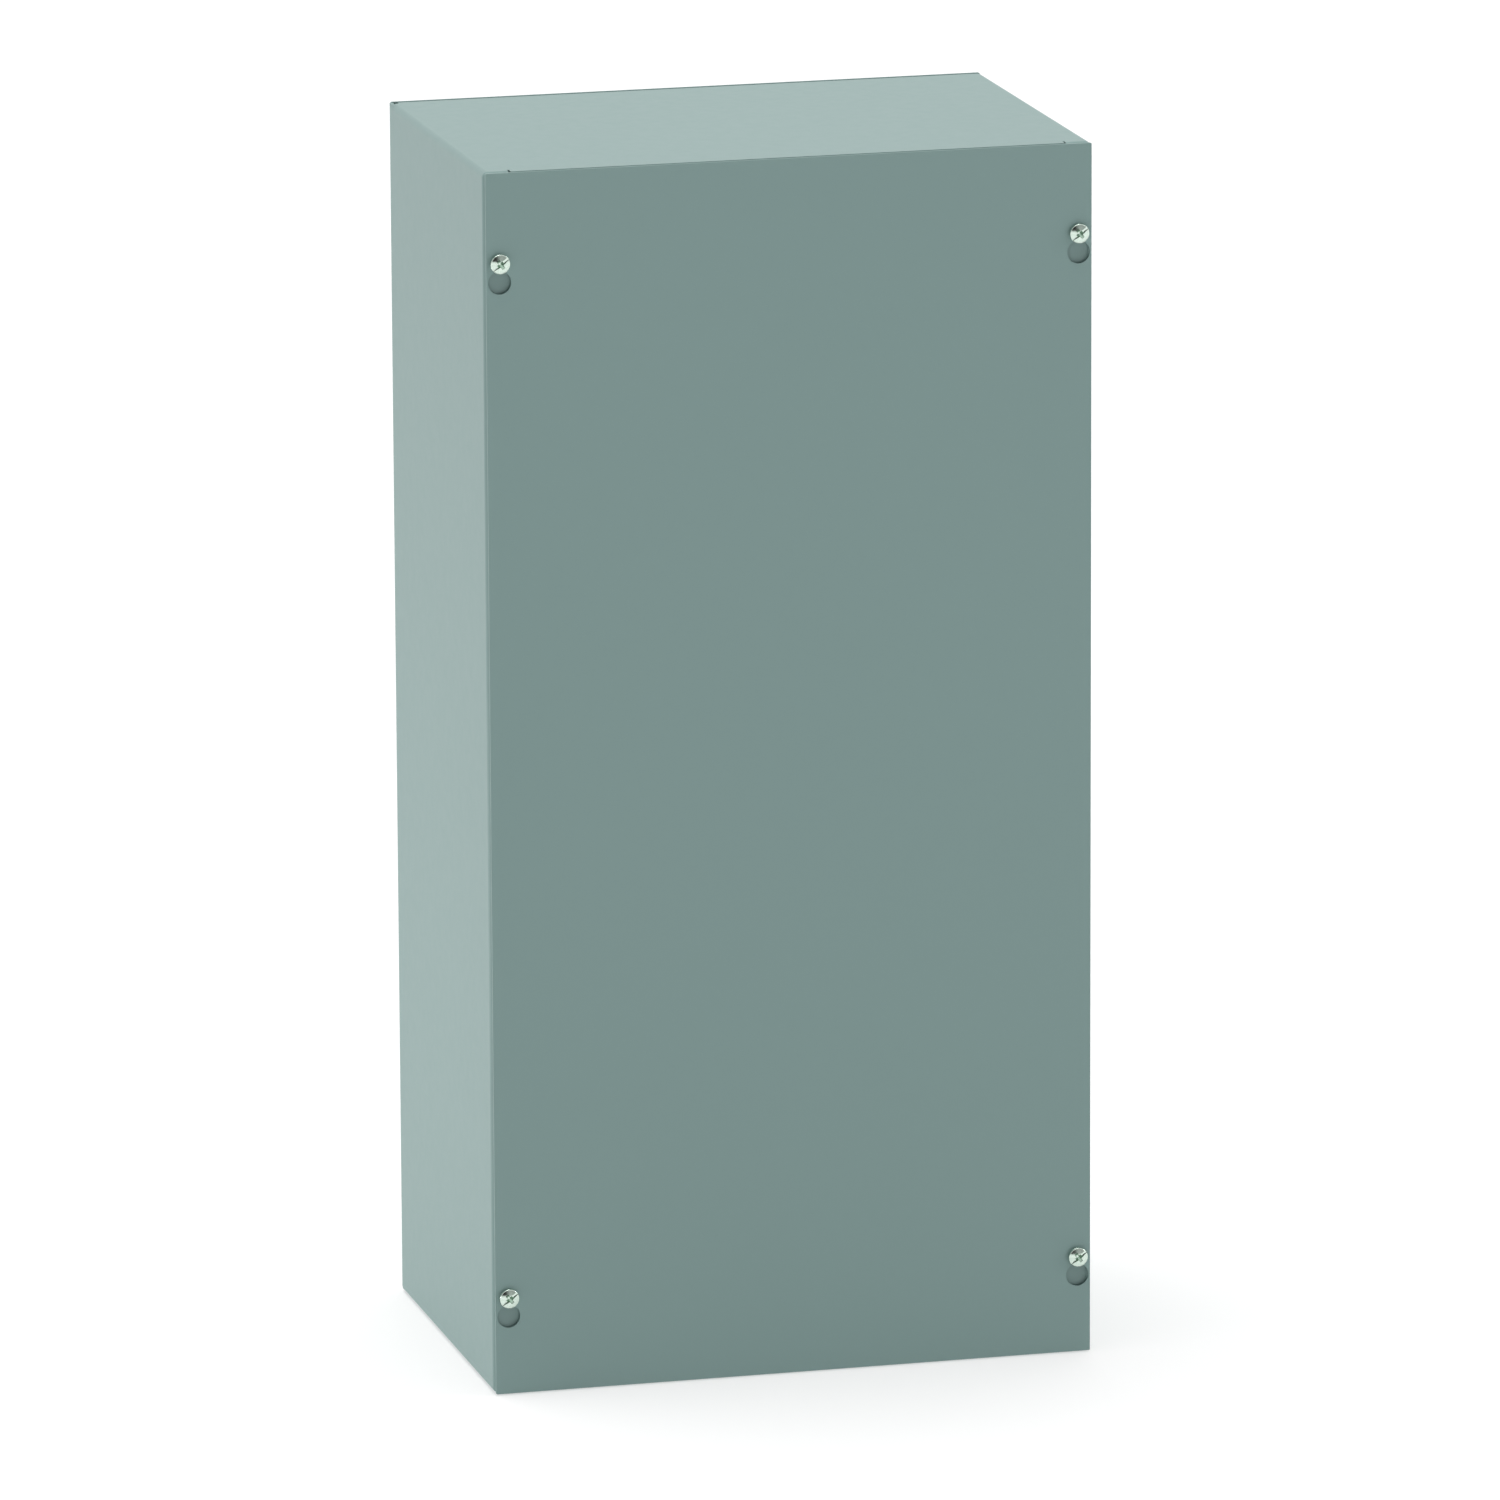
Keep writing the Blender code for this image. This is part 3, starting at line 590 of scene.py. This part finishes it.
def fold(bm, stations, wall_y, rim_y, skip):
    """The quarter-round from the walls, at wall_y, in to a flange in the plane rim_y."""
    way = rim_y - wall_y
    radius = abs(way)
    rows = []
    for (x, z), (across, up) in stations:
        row = []
        for i in range(FOLD_STEPS + 1):
            turn = i / FOLD_STEPS * math.pi / 2
            reach = BEND - radius + radius * math.cos(turn)
            y = wall_y + way * math.sin(turn)
            row.append(bm.verts.new((x + reach * across, y, z + reach * up)))
        rows.append(row)
    for i, row in enumerate(rows):
        after = rows[(i + 1) % len(rows)]
        if skip(stations[i], stations[(i + 1) % len(rows)]):
            continue
        for j in range(FOLD_STEPS):
            corners = {v.co.to_tuple(8): v for v in (row[j], row[j + 1], after[j + 1], after[j])}
            if len(corners) > 2:
                bm.faces.new(corners.values())


def walls(bm, low, high, mouth, reach):
    """The side walls, the round corners between them, and the end walls with their notches."""
    front, rear = low.y + BEND, high.y - REAR_BEND
    stations = ring_stations(low, high, ())
    for i, (centre, normal) in enumerate(stations):
        after, after_normal = stations[(i + 1) % len(stations)]
        upright = abs(normal[0]) > 0.5
        if centre != after and not upright:
            continue  # an end wall, which follows
        ends = [
            (c[0] + BEND * n[0], c[1] + BEND * n[1])
            for c, n in ((centre, normal), (after, after_normal))
        ]
        (x0, z0), (x1, z1) = ends
        corners = ((x0, front, z0), (x1, front, z1), (x1, rear, z1), (x0, rear, z0))
        bm.faces.new([bm.verts.new(corner) for corner in corners])
    side = high.x - BEND
    deep = front + NOTCH_REACH
    half = [(side, rear), (side, front), (mouth, front), (mouth, deep), (reach, deep)]
    half += [(reach, low.y)]
    outline = half + [(-x, y) for x, y in reversed(half)]
    for z in (low.z, high.z):
        bm.faces.new([bm.verts.new((x, y, z)) for x, y in outline])


def notched(outer, mouth, reach, foot, head):
    """A side flange's outline. It is a little wider between the slots at its ends."""
    tip, shelf = BEND, FLANGE + SIDE_NOTCH
    inner = [(mouth, foot + tip), (mouth, foot + shelf), (reach, foot + shelf)]
    inner += [(reach, head - shelf), (mouth, head - shelf), (mouth, head - tip)]
    return [(outer, foot + tip), *inner, (outer, head - tip)]


def flanges(bm, low, high, mouth, reach):
    """The front flanges, with their screw holes, and the frame of the rear flanges."""
    screws = [middle(f"cover_screw_{corner}") for corner in CORNERS]
    for sign in SIDES.values():
        outer = sign * (high.x - BEND)
        edge = notched(outer, sign * mouth, sign * reach, low.z, high.z)
        holes = [circle((s.x, s.z), SHANK_RADIUS + SLIT) for s in screws if s.x * sign > 0]
        fill(bm, [edge, *holes], lambda x, z: (x, low.y, z), (0, -1, 0))
    for edge, inward in ((low.z, 1), (high.z, -1)):
        end = edge + inward * FLANGE
        corners = ((-reach, edge), (reach, edge), (reach, end), (-reach, end))
        bm.faces.new([bm.verts.new((x, low.y, z)) for x, z in corners])
    inset = REAR_BEND
    frame_edge = rectangle(
        (low.x + inset, low.z + inset), (high.x - inset, high.z - inset), BEND - inset
    )
    opening = rectangle((-mouth, low.z + FLANGE), (mouth, high.z - FLANGE))
    fill(bm, [frame_edge, opening], lambda x, z: (x, high.y, z), (0, 1, 0))


def ear_mesh():
    """Squares off the rear end of the round corner beside the relief, and fades out forwards."""
    sheet = size("cover").y
    square = [(0, 0), (RELIEF_INSET, 0), (RELIEF_INSET, -sheet), (sheet, -BEND), (0, -BEND)]
    buried = rectangle((0.3 * BEND, -0.45 * BEND), (0.45 * BEND, -0.3 * BEND))
    bm = bmesh.new()
    for y, points in ((0, square), (-EAR_LENGTH, buried)):
        for x, z in points:
            bm.verts.new((x, y, z))
    bmesh.ops.convex_hull(bm, input=bm.verts[:])
    return mesh_of("ear", bm)


def make_wrapper():
    low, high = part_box("wrapper")
    mouth = high.x - FLANGE
    reach = mouth - SIDE_NOTCH

    def open_between_notches(station, after):
        x0, x1 = station[0][0], after[0][0]
        return station[1][0] ** 2 < 0.01 and max(abs(x0), abs(x1)) < mouth + WELD

    bm = bmesh.new()
    fold(bm, ring_stations(low, high, (-mouth, mouth)), low.y + BEND, low.y, open_between_notches)
    rear_ring = ring_stations(low, high, ())
    fold(bm, rear_ring, high.y - REAR_BEND, high.y, lambda station, after: False)
    walls(bm, low, high, mouth, reach)
    flanges(bm, low, high, mouth, reach)
    obj = shown("folded_box", mesh_of("folded_box", bm))
    thickened(obj, size("cover").y)
    rounded_edges(obj, EDGE)
    across, deep, tall = RELIEF
    ears = [(ear_mesh(), Matrix.Translation((low.x, high.y - EAR_SETBACK, high.z)))]
    slot = low.x + RELIEF_INSET + across / 2
    relief = block("relief", (across, deep * 2, tall * 2))
    reliefs = [(relief, Matrix.Translation((slot, high.y, high.z)))]
    mesh = booleaned(shown("eared", booleaned(obj, ears, "UNION")), reliefs)
    box = shown("folded_box", resmoothed(mesh))
    even_shading(box)
    dress(box, "wrapper", "body")


def make_rear_sheet():
    low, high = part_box("back_panel")
    wide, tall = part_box("wrapper")[1].x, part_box("wrapper")[1].z
    inset = FLANGE / 2 + BEND / 2
    holes, welds = [], []
    for sign in SIDES.values():
        for z in (WALL_HOLE_INSET, tall - WALL_HOLE_INSET):
            holes.append(circle((sign * (wide - WALL_HOLE_INSET), z), WALL_HOLE_RADIUS))
        for i in range(WELDS_UP):
            welds.append((sign * (wide - inset), tall * (i + 0.5) / WELDS_UP))
    for z in (inset, tall - inset):
        welds += [(wide * 2 * (i + 1) / (WELDS_ACROSS + 1) - wide, z) for i in range(WELDS_ACROSS)]
    edge = rectangle((low.x, low.z), (high.x, high.z), REAR_CORNER)
    sheet = flat_sheet("rear_sheet", [edge, *holes], low.y, high.y - low.y, welds)
    dress(sheet, "back_panel", "body")


# The cover and its screws


def keyhole(x, z, head_radius):
    """A slot up from a round hole, its top centred on the screw."""
    slot, hole = SHANK_RADIUS + SLIT, head_radius + KEYHOLE_CLEARANCE
    mouth = math.asin(slot / hole)
    start, stop = math.pi / 2 + mouth, 5 * math.pi / 2 - mouth
    return arc((x, z), slot, 0, math.pi, 16) + arc((x, z - KEYHOLE_DROP), hole, start, stop, 48)


def make_cover():
    low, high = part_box("cover")
    loops = [rectangle((low.x, low.z), (high.x, high.z), COVER_CORNER)]
    for corner in CORNERS:
        node = f"cover_screw_{corner}"
        loops.append(keyhole(middle(node).x, middle(node).z, size(node).x / 2))
    obj = flat_sheet("cover_sheet", loops, low.y, high.y - low.y)
    dress(obj, "cover", "cover")


def drive_cutters(span, width, depth, slot_width, slot_depth, across, top):
    """The tapered wings of a cross recess and the slot over them, as (mesh, matrix)."""
    wing = tapered_block("wing", (span, width), (span * 0.16, width * 0.40), depth + LIFT)
    narrow = (across, slot_width * 0.94)
    slot = tapered_block("slot", (across, slot_width), narrow, slot_depth + LIFT)
    at = Matrix.Translation((0, 0, top + LIFT))
    turn = Matrix.Rotation(SLOT_TURN, 4, "Z")
    quarter = Matrix.Rotation(math.pi / 2, 4, "Z")
    return [(slot, at @ turn), (wing, at @ turn), (wing.copy(), at @ turn @ quarter)]


def cover_screw_mesh():
    """A pan head machine screw, its underside at zero."""
    radius = size("cover_screw_top_left").x / 2
    length = size("cover_screw_top_left").y
    top = COVER_HEAD
    shank = top - length
    crown, rim = 0.0012, 0.00035
    ball = (radius**2 + crown**2) / (2 * crown)
    rows = []
    for i in range(13):
        across = (radius - rim) * max(i / 12, 0.02)
        rows += plain((across, top - ball + math.sqrt(ball**2 - across**2)))
    shoulder = rows[-1][1] - rim * 0.75
    rows += plain(*arc((radius - rim, shoulder), rim, math.radians(60), 0, 5))
    rows += plain((radius, 0.0003), (radius - 0.0002, 0.0), (SHANK_RADIUS - 0.0001, 0.0))
    rows += threaded(SHANK_RADIUS, -0.0008, shank + 0.0007, COVER_PITCH, 0.00042)
    rows += plain((SHANK_RADIUS - 0.0007, shank), (AXIS, shank))
    screw = shown("cover_screw", revolved("cover_screw", rows, ROUND_STEPS, COVER_PITCH))
    cutters = drive_cutters(
        span=0.0060, width=0.0019, depth=0.0030, slot_width=0.0015, slot_depth=0.0014,
        across=0.0120, top=top,
    )
    return resmoothed(booleaned(screw, cutters))


def hexagon(name, flats, length):
    bm = bmesh.new()
    corner = flats / 2 / math.cos(math.pi / 6)
    bmesh.ops.create_cone(
        bm, cap_ends=True, segments=6, radius1=corner, radius2=corner, depth=length
    )
    return mesh_of(name, bm)


def nut_mesh(name, flats, height, bore, pitch):
    """A hexagon with its corners turned down at both ends and a threaded bore, centred."""
    corner = flats / 2 / math.cos(math.pi / 6)
    face = flats / 2 - 0.0001
    drop = (corner - face) * 0.55
    half = height / 2
    turned = plain((0.0001, half), (face, half), (corner + 0.0002, half - drop - 0.0001))
    turned += plain((corner + 0.0002, drop + 0.0001 - half), (face, -half), (0.0001, -half))
    nut = shown(name, hexagon(name, flats, height))
    mesh = booleaned(nut, [(revolved("turned", turned), Matrix())], "INTERSECT")
    past = half + 0.0004
    bored = plain((bore + 0.0005, past), (bore + 0.0004, half), (bore, half - 0.0005))
    bored += threaded(bore + 0.0002, half - 0.0005, 0.0005 - half, pitch, 0.0002)
    bored += plain((bore, 0.0005 - half), (bore + 0.0004, -half), (bore + 0.0005, -past))
    cutter = revolved("bored", bored, 32, pitch)
    return resmoothed(booleaned(shown(name, mesh), [(cutter, Matrix())]))


def make_cover_screws():
    screw = cover_screw_mesh()
    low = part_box("weld_nut_top_left")[0]
    nut_size = size("weld_nut_top_left")
    nut = nut_mesh("weld_nut", nut_size.x, nut_size.y, SHANK_RADIUS + SLIT, COVER_PITCH)
    for corner in CORNERS:
        place = middle(f"cover_screw_{corner}")
        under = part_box("cover")[0].y - SLIT
        at = Matrix.Translation((place.x, under, place.z)) @ FORWARD
        dress(shown(f"pan_head_screw_{corner}", screw, at), f"cover_screw_{corner}", "screw")
        at = Matrix.Translation((place.x, low.y + nut_size.y / 2, place.z)) @ FORWARD
        dress(shown(f"welded_nut_{corner}", nut, at), f"weld_nut_{corner}", "nut")


# The mounting panel and its studs


def make_mounting_panel():
    low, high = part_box("mounting_panel")
    loops = [rectangle((low.x, low.z), (high.x, high.z), PANEL_CORNER)]
    for corner in CORNERS:
        at = middle(f"panel_stud_{corner}")
        loops.append(circle((at.x, at.z), STUD_RADIUS + SLIT))
    for node in PANEL_SCREWS:
        at = middle(node)
        loops.append(circle((at.x, at.z), SHANK_RADIUS + SLIT))
    obj = flat_sheet("mounting_plate", loops, low.y, high.y - low.y)
    dress(obj, "mounting_panel", "panel")


def stud_mesh(node, collar):
    """A threaded stud on a round collar, its foot at zero."""
    top = size(node).y
    wide = size(node).x / 2
    rows = plain((AXIS, top), (STUD_RADIUS - 0.0007, top))
    rows += threaded(STUD_RADIUS, top - 0.0007, collar + 0.0006, STUD_PITCH, 0.00065)
    rows += plain((STUD_RADIUS - 0.0002, collar), (wide - 0.0005, collar))
    rows += plain((wide, collar - 0.0005), (wide, 0.0004), (wide - 0.0004, 0), (AXIS, 0))
    return revolved(f"{node}_turned", rows, 40, STUD_PITCH)


def star_washer_mesh(node):
    """An internal-tooth lock washer: its teeth are twisted up and down by turns."""
    teeth = 12
    outer = size(node).x / 2
    inner = STUD_RADIUS + SLIT
    thick, twist = 0.0006, 0.00024
    root = inner + (outer - inner) * 0.52
    tooth = []
    for i in range(teeth):
        for share, radius in ((0.10, root), (0.26, inner), (0.74, inner), (0.90, root)):
            angle = 2 * math.pi * (i + share) / teeth
            tooth.append((radius * math.cos(angle), radius * math.sin(angle)))
    bm = bmesh.new()
    fill(bm, [circle((0, 0), outer, 60), tooth], lambda x, y: (x, y, thick / 2), (0, 0, 1))
    for vert in bm.verts:
        if vert.co.to_2d().length < inner + WELD:
            angle = math.atan2(vert.co.y, vert.co.x) % (2 * math.pi)
            share = angle / (2 * math.pi) * teeth % 1
            vert.co.z += twist if share > 0.5 else -twist
    mesh = mesh_of("star_washer", bm)
    if mesh.polygons[0].normal.z < 0:
        mesh.flip_normals()
    obj = shown("star_washer", mesh)
    thickened(obj, thick)
    rounded_edges(obj, WASHER_EDGE)
    return baked(obj)


def make_studs():
    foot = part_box("panel_stud_top_left")[1].y
    panel_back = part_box("mounting_panel")[1].y
    tall = stud_mesh("panel_stud_top_left", foot - panel_back - SLIT)
    short = stud_mesh("ground_stud", size("cover").y)
    washer = star_washer_mesh("ground_washer")
    nut_size = size("ground_nut")
    nut = nut_mesh("stud_nut", nut_size.x, nut_size.y, STUD_RADIUS + SLIT, STUD_PITCH)
    sets = [(f"panel_{{}}_{corner}", tall) for corner in CORNERS] + [("ground_{}", short)]
    for pattern, stud in sets:
        for part, mesh, finish in (
            ("stud", stud, "stud"),
            ("washer", washer, "washer"),
            ("nut", nut, "yellow"),
        ):
            node = pattern.format(part)
            at = middle(node)
            if part == "stud":
                at.y = foot
            if part == "nut":
                at.z = middle(pattern.format("stud")).z
            piece = shown(f"{node}_piece", mesh, Matrix.Translation(at) @ FORWARD)
            dress(piece, node, finish)


# The rails


def rail_section(width, channel, depth, sheet):
    """The rear surface of the hat section from lip to lip, as (height, reach) with round folds."""
    radius = sheet * 1.2
    lip, wall, reach = width / 2, channel / 2, depth - sheet
    outer = [(-lip, reach)]
    outer += arc((-wall - radius + sheet, reach - radius), radius, math.pi / 2, 0, 5)
    outer += arc((-wall + radius, radius), radius, math.pi, 1.5 * math.pi, 5)
    return outer + [(-height, forward) for height, forward in reversed(outer)]


def rail_mesh(node):
    low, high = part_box(node)
    length = high.x - low.x
    depth = high.y - low.y
    section = rail_section(high.z - low.z, RAIL_CHANNEL, depth, RAIL_SHEET)
    half = len(section) // 2
    bm = bmesh.new()
    for (z0, reach0), (z1, reach1) in zip(section, section[1:]):
        if (z0, reach0) == section[half - 1]:
            continue
        corners = ((-1, z0, reach0), (1, z0, reach0), (1, z1, reach1), (-1, z1, reach1))
        bm.faces.new([bm.verts.new((s * length / 2, -reach, z)) for s, z, reach in corners])
    base = section[half - 1][0]
    reach = middle("rail_screw_upper_right").x
    count = round(2 * reach / RAIL_PITCH) + 1
    slots = [stadium((i * RAIL_PITCH - reach, 0), *RAIL_SLOT) for i in range(count)]
    strip = rectangle((-length / 2, base), (length / 2, -base))
    fill(bm, [strip, *slots], lambda x, z: (x, 0, z), (0, -1, 0))
    mesh = mesh_of("hat_rail", bm)
    faces_front(mesh)
    obj = shown("hat_rail", mesh)
    thickened(obj, RAIL_SHEET, 1)
    rounded_edges(obj, RAIL_EDGE)
    return baked(obj)


def pan_screw_mesh(name, node):
    """A slotted pan head screw, its underside at zero."""
    wide = size(node).x / 2
    top = PAN_HEAD
    shank = top - size(node).y
    rows = plain((AXIS, top), (wide * 0.45, top - 0.00003))
    rows += domed(wide, 0.0013, top - 0.0001, 8)
    rows += plain((wide, 0.0003), (wide - 0.0002, 0), (SHANK_RADIUS - 0.0001, 0))
    rows += threaded(SHANK_RADIUS, -0.0006, shank + 0.0006, PAN_PITCH, 0.0004, 5)
    rows += plain((SHANK_RADIUS - 0.0006, shank), (AXIS, shank))
    screw = shown(name, revolved(name, rows, 36, PAN_PITCH))
    slot = tapered_block("slot", *DRIVER_SLOT)
    turn = Matrix.Translation((0, 0, top + LIFT)) @ Matrix.Rotation(0.4, 4, "Z")
    return resmoothed(booleaned(screw, [(slot, turn)]))


def make_rails():
    rail = rail_mesh("din_rail_upper")
    for level in ("upper", "lower"):
        node = f"din_rail_{level}"
        low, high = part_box(node)
        at = Vector((0, high.y, (low.z + high.z) / 2))
        dress(shown(f"hat_rail_{level}", rail, at), node, "rail")
    screw = pan_screw_mesh("rail_screw", "rail_screw_upper_left")
    for node in PANEL_SCREWS:
        if node.startswith("rail"):
            place_screw(node, screw, PAN_HEAD)


def place_screw(node, mesh, head, turn=0.0, finish="yellow"):
    """Puts a screw's mesh on its node, given the height of its head."""
    at = middle(node)
    at.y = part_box(node)[0].y + head
    spin = Matrix.Rotation(turn, 4, "Z")
    piece = shown(f"{node}_piece", mesh, Matrix.Translation(at) @ FORWARD @ spin)
    dress(piece, node, finish)


# The earth bar


def make_earth_bar():
    low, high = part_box("earth_bar")
    bar = shown("brass_bar", block("brass_bar", high - low), (low + high) / 2)
    cutters = []
    for i in range(TERMINALS):
        at = middle(f"terminal_screw_{i + 1}")
        wire = revolved("wire", plain((WIRE_RADIUS, 0.02), (WIRE_RADIUS, -0.02)), HOLE_STEPS)
        cutters.append((wire, Matrix.Translation((at.x, low.y + WIRE_DEPTH, at.z))))
        ends = plain((TAP_RADIUS, WIRE_DEPTH), (TAP_RADIUS, -WIRE_DEPTH))
        tap = revolved("tap", ends, HOLE_STEPS)
        cutters.append((tap, Matrix.Translation((at.x, low.y, at.z)) @ FORWARD))
    for side in SIDES:
        at = middle(f"earth_bar_screw_{side}")
        ends = plain((THROUGH_RADIUS, 0.03), (THROUGH_RADIUS, -0.03))
        through = revolved("through", ends, HOLE_STEPS)
        cutters.append((through, Matrix.Translation((at.x, low.y, at.z)) @ FORWARD))
    obj = shown("brass_bar", resmoothed(booleaned(bar, cutters)), (low + high) / 2)
    rounded_edges(obj, BAR_EDGE, 50)
    dress(obj, "earth_bar", "brass")


def terminal_screw_mesh(node):
    wide = size(node).x / 2
    top = TERMINAL_HEAD
    shank = top - size(node).y
    rows = plain((AXIS, top), (wide - 0.0004, top), (wide - 0.0001, top - 0.0001))
    rows += plain((wide, top - 0.0004), (wide, 0.0003), (wide - 0.0002, 0), (0.0017, 0))
    rows += threaded(0.0018, -0.0003, shank + 0.0003, TERMINAL_PITCH, 0.0003, 5)
    rows += plain((0.0015, shank), (AXIS, shank))
    screw = shown("terminal_screw", revolved("terminal_screw", rows, 32, TERMINAL_PITCH))
    slot = tapered_block("slot", *DRIVER_SLOT)
    return resmoothed(booleaned(screw, [(slot, Matrix.Translation((0, 0, top + LIFT)))]))


def make_earth_fixings():
    low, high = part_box("earth_bar_standoff_left")
    spacer = nut_mesh("spacer", high.x - low.x, high.y - low.y, SHANK_RADIUS + SLIT, PAN_PITCH)
    screw = pan_screw_mesh("bar_screw", "earth_bar_screw_left")
    for i, side in enumerate(SIDES):
        node = f"earth_bar_standoff_{side}"
        at = Matrix.Translation(middle(node)) @ FORWARD
        dress(shown(f"hex_spacer_{side}", spacer, at), node, "stud")
        place_screw(f"earth_bar_screw_{side}", screw, PAN_HEAD, 0.9 * i)
    terminal = terminal_screw_mesh("terminal_screw_1")
    for i in range(TERMINALS):
        place_screw(f"terminal_screw_{i + 1}", terminal, TERMINAL_HEAD, 0.7 * i, "stud")


# Stage


def make_camera():
    """A long lens from the left of the cabinet and above it."""
    yaw, pitch, roll = (math.radians(angle) for angle in (YAW, PITCH, ROLL))
    data = bpy.data.cameras.new("camera")
    data.lens = LENS
    data.sensor_width = SENSOR
    data.clip_end = 100
    x, y, z = CAMERA_PLACE
    turn = Matrix.Rotation(-yaw, 4, "Z") @ Matrix.Rotation(math.pi / 2 - pitch, 4, "X")
    turn @= Matrix.Rotation(-roll, 4, "Z")
    place = Matrix.Translation((x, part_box("cover")[0].y + y, z))
    bpy.context.scene.camera = shown("camera", data, place @ turn)


def make_floor():
    """A wide pale floor that throws its own light back, so that only the contact shadow shows."""
    bm = bmesh.new()
    bmesh.ops.create_grid(bm, x_segments=1, y_segments=1, size=40)
    floor = shown("floor", mesh_of("floor", bm), (0, 0, -FLOOR_DROP))
    material = bpy.data.materials.new("pale_floor")
    material.use_nodes = True
    shader = material.node_tree.nodes["Principled BSDF"]
    shader.inputs["Base Color"].default_value = (*FLOOR_COLOUR, 1)
    shader.inputs["Roughness"].default_value = 0.9
    shader.inputs["Specular IOR Level"].default_value = 0.0
    shader.inputs["Emission Color"].default_value = (1, 1, 1, 1)
    shader.inputs["Emission Strength"].default_value = FLOOR_GLOW
    floor.data.materials.append(material)


def sun(name, towards, energy, spread):
    data = bpy.data.lights.new(name, "SUN")
    data.energy = energy
    data.angle = math.radians(spread)
    shown(name, data, Vector(towards).to_track_quat("Z", "Y").to_matrix().to_4x4())


def make_low_card():
    """A reflector low on the left, which lifts the foot of that side."""
    data = bpy.data.lights.new("low_card", "AREA")
    data.shape = "RECTANGLE"
    data.size, data.size_y = CARD_SIZE
    data.energy = CARD
    turn = Vector((-1, 0, 0)).to_track_quat("Z", "Y").to_matrix().to_4x4()
    shown("low_card", data, Matrix.Translation(CARD_PLACE) @ turn)


def make_world():
    """A white studio that is darker to the right and unlit in front on the left. A pale band at
    the horizon backs the level views."""
    world = bpy.data.worlds.new("studio")
    world.use_nodes = True
    tree = world.node_tree
    towards = tree.nodes.new("ShaderNodeTexCoord").outputs["Generated"]

    def ranged(value, start, stop, low, high, kind="LINEAR"):
        node = tree.nodes.new("ShaderNodeMapRange")
        node.interpolation_type = kind
        ends = {"From Min": start, "From Max": stop, "To Min": low, "To Max": high}
        for name, number in ends.items():
            node.inputs[name].default_value = number
        tree.links.new(value, node.inputs["Value"])
        return node.outputs["Result"]

    def joined(operation, first, second):
        node = tree.nodes.new("ShaderNodeMath")
        node.operation = operation
        tree.links.new(first, node.inputs[0])
        tree.links.new(second, node.inputs[1])
        return node.outputs["Value"]

    facing = tree.nodes.new("ShaderNodeVectorMath")
    facing.operation = "DOT_PRODUCT"
    tree.links.new(towards, facing.inputs[0])
    facing.inputs[1].default_value = Vector(UNLIT).normalized()
    axes = tree.nodes.new("ShaderNodeSeparateXYZ")
    tree.links.new(towards, axes.inputs["Vector"])
    unlit = ranged(facing.outputs["Value"], *UNLIT_EDGE, 1.0, UNLIT_LEVEL, "SMOOTHSTEP")
    sideways = ranged(axes.outputs["X"], -1, 1, *SIDEWAYS)
    band = ranged(axes.outputs["Z"], *HORIZON, 1.0, 0.0, "SMOOTHSTEP")
    backdrop = ranged(axes.outputs["Y"], *BACKDROP_EDGE, 0.0, BACKDROP, "SMOOTHSTEP")
    level = joined("MULTIPLY", unlit, joined("ADD", sideways, backdrop))
    level = joined("MAXIMUM", level, band)
    background = tree.nodes["Background"]
    background.inputs["Color"].default_value = (1, 1, 1, 1)
    tree.links.new(level, background.inputs["Strength"])
    bpy.context.scene.world = world


def make_light():
    make_world()
    sun("key", KEY_FROM, KEY, KEY_SPREAD)
    sun("kicker", KICKER_FROM, KICKER, KICKER_SPREAD)
    make_low_card()
    bpy.context.scene.view_settings.view_transform = "Standard"


make_camera()
make_wrapper()
make_rear_sheet()
make_cover()
make_cover_screws()
make_mounting_panel()
make_studs()
make_rails()
make_earth_bar()
make_earth_fixings()
make_floor()
make_light()
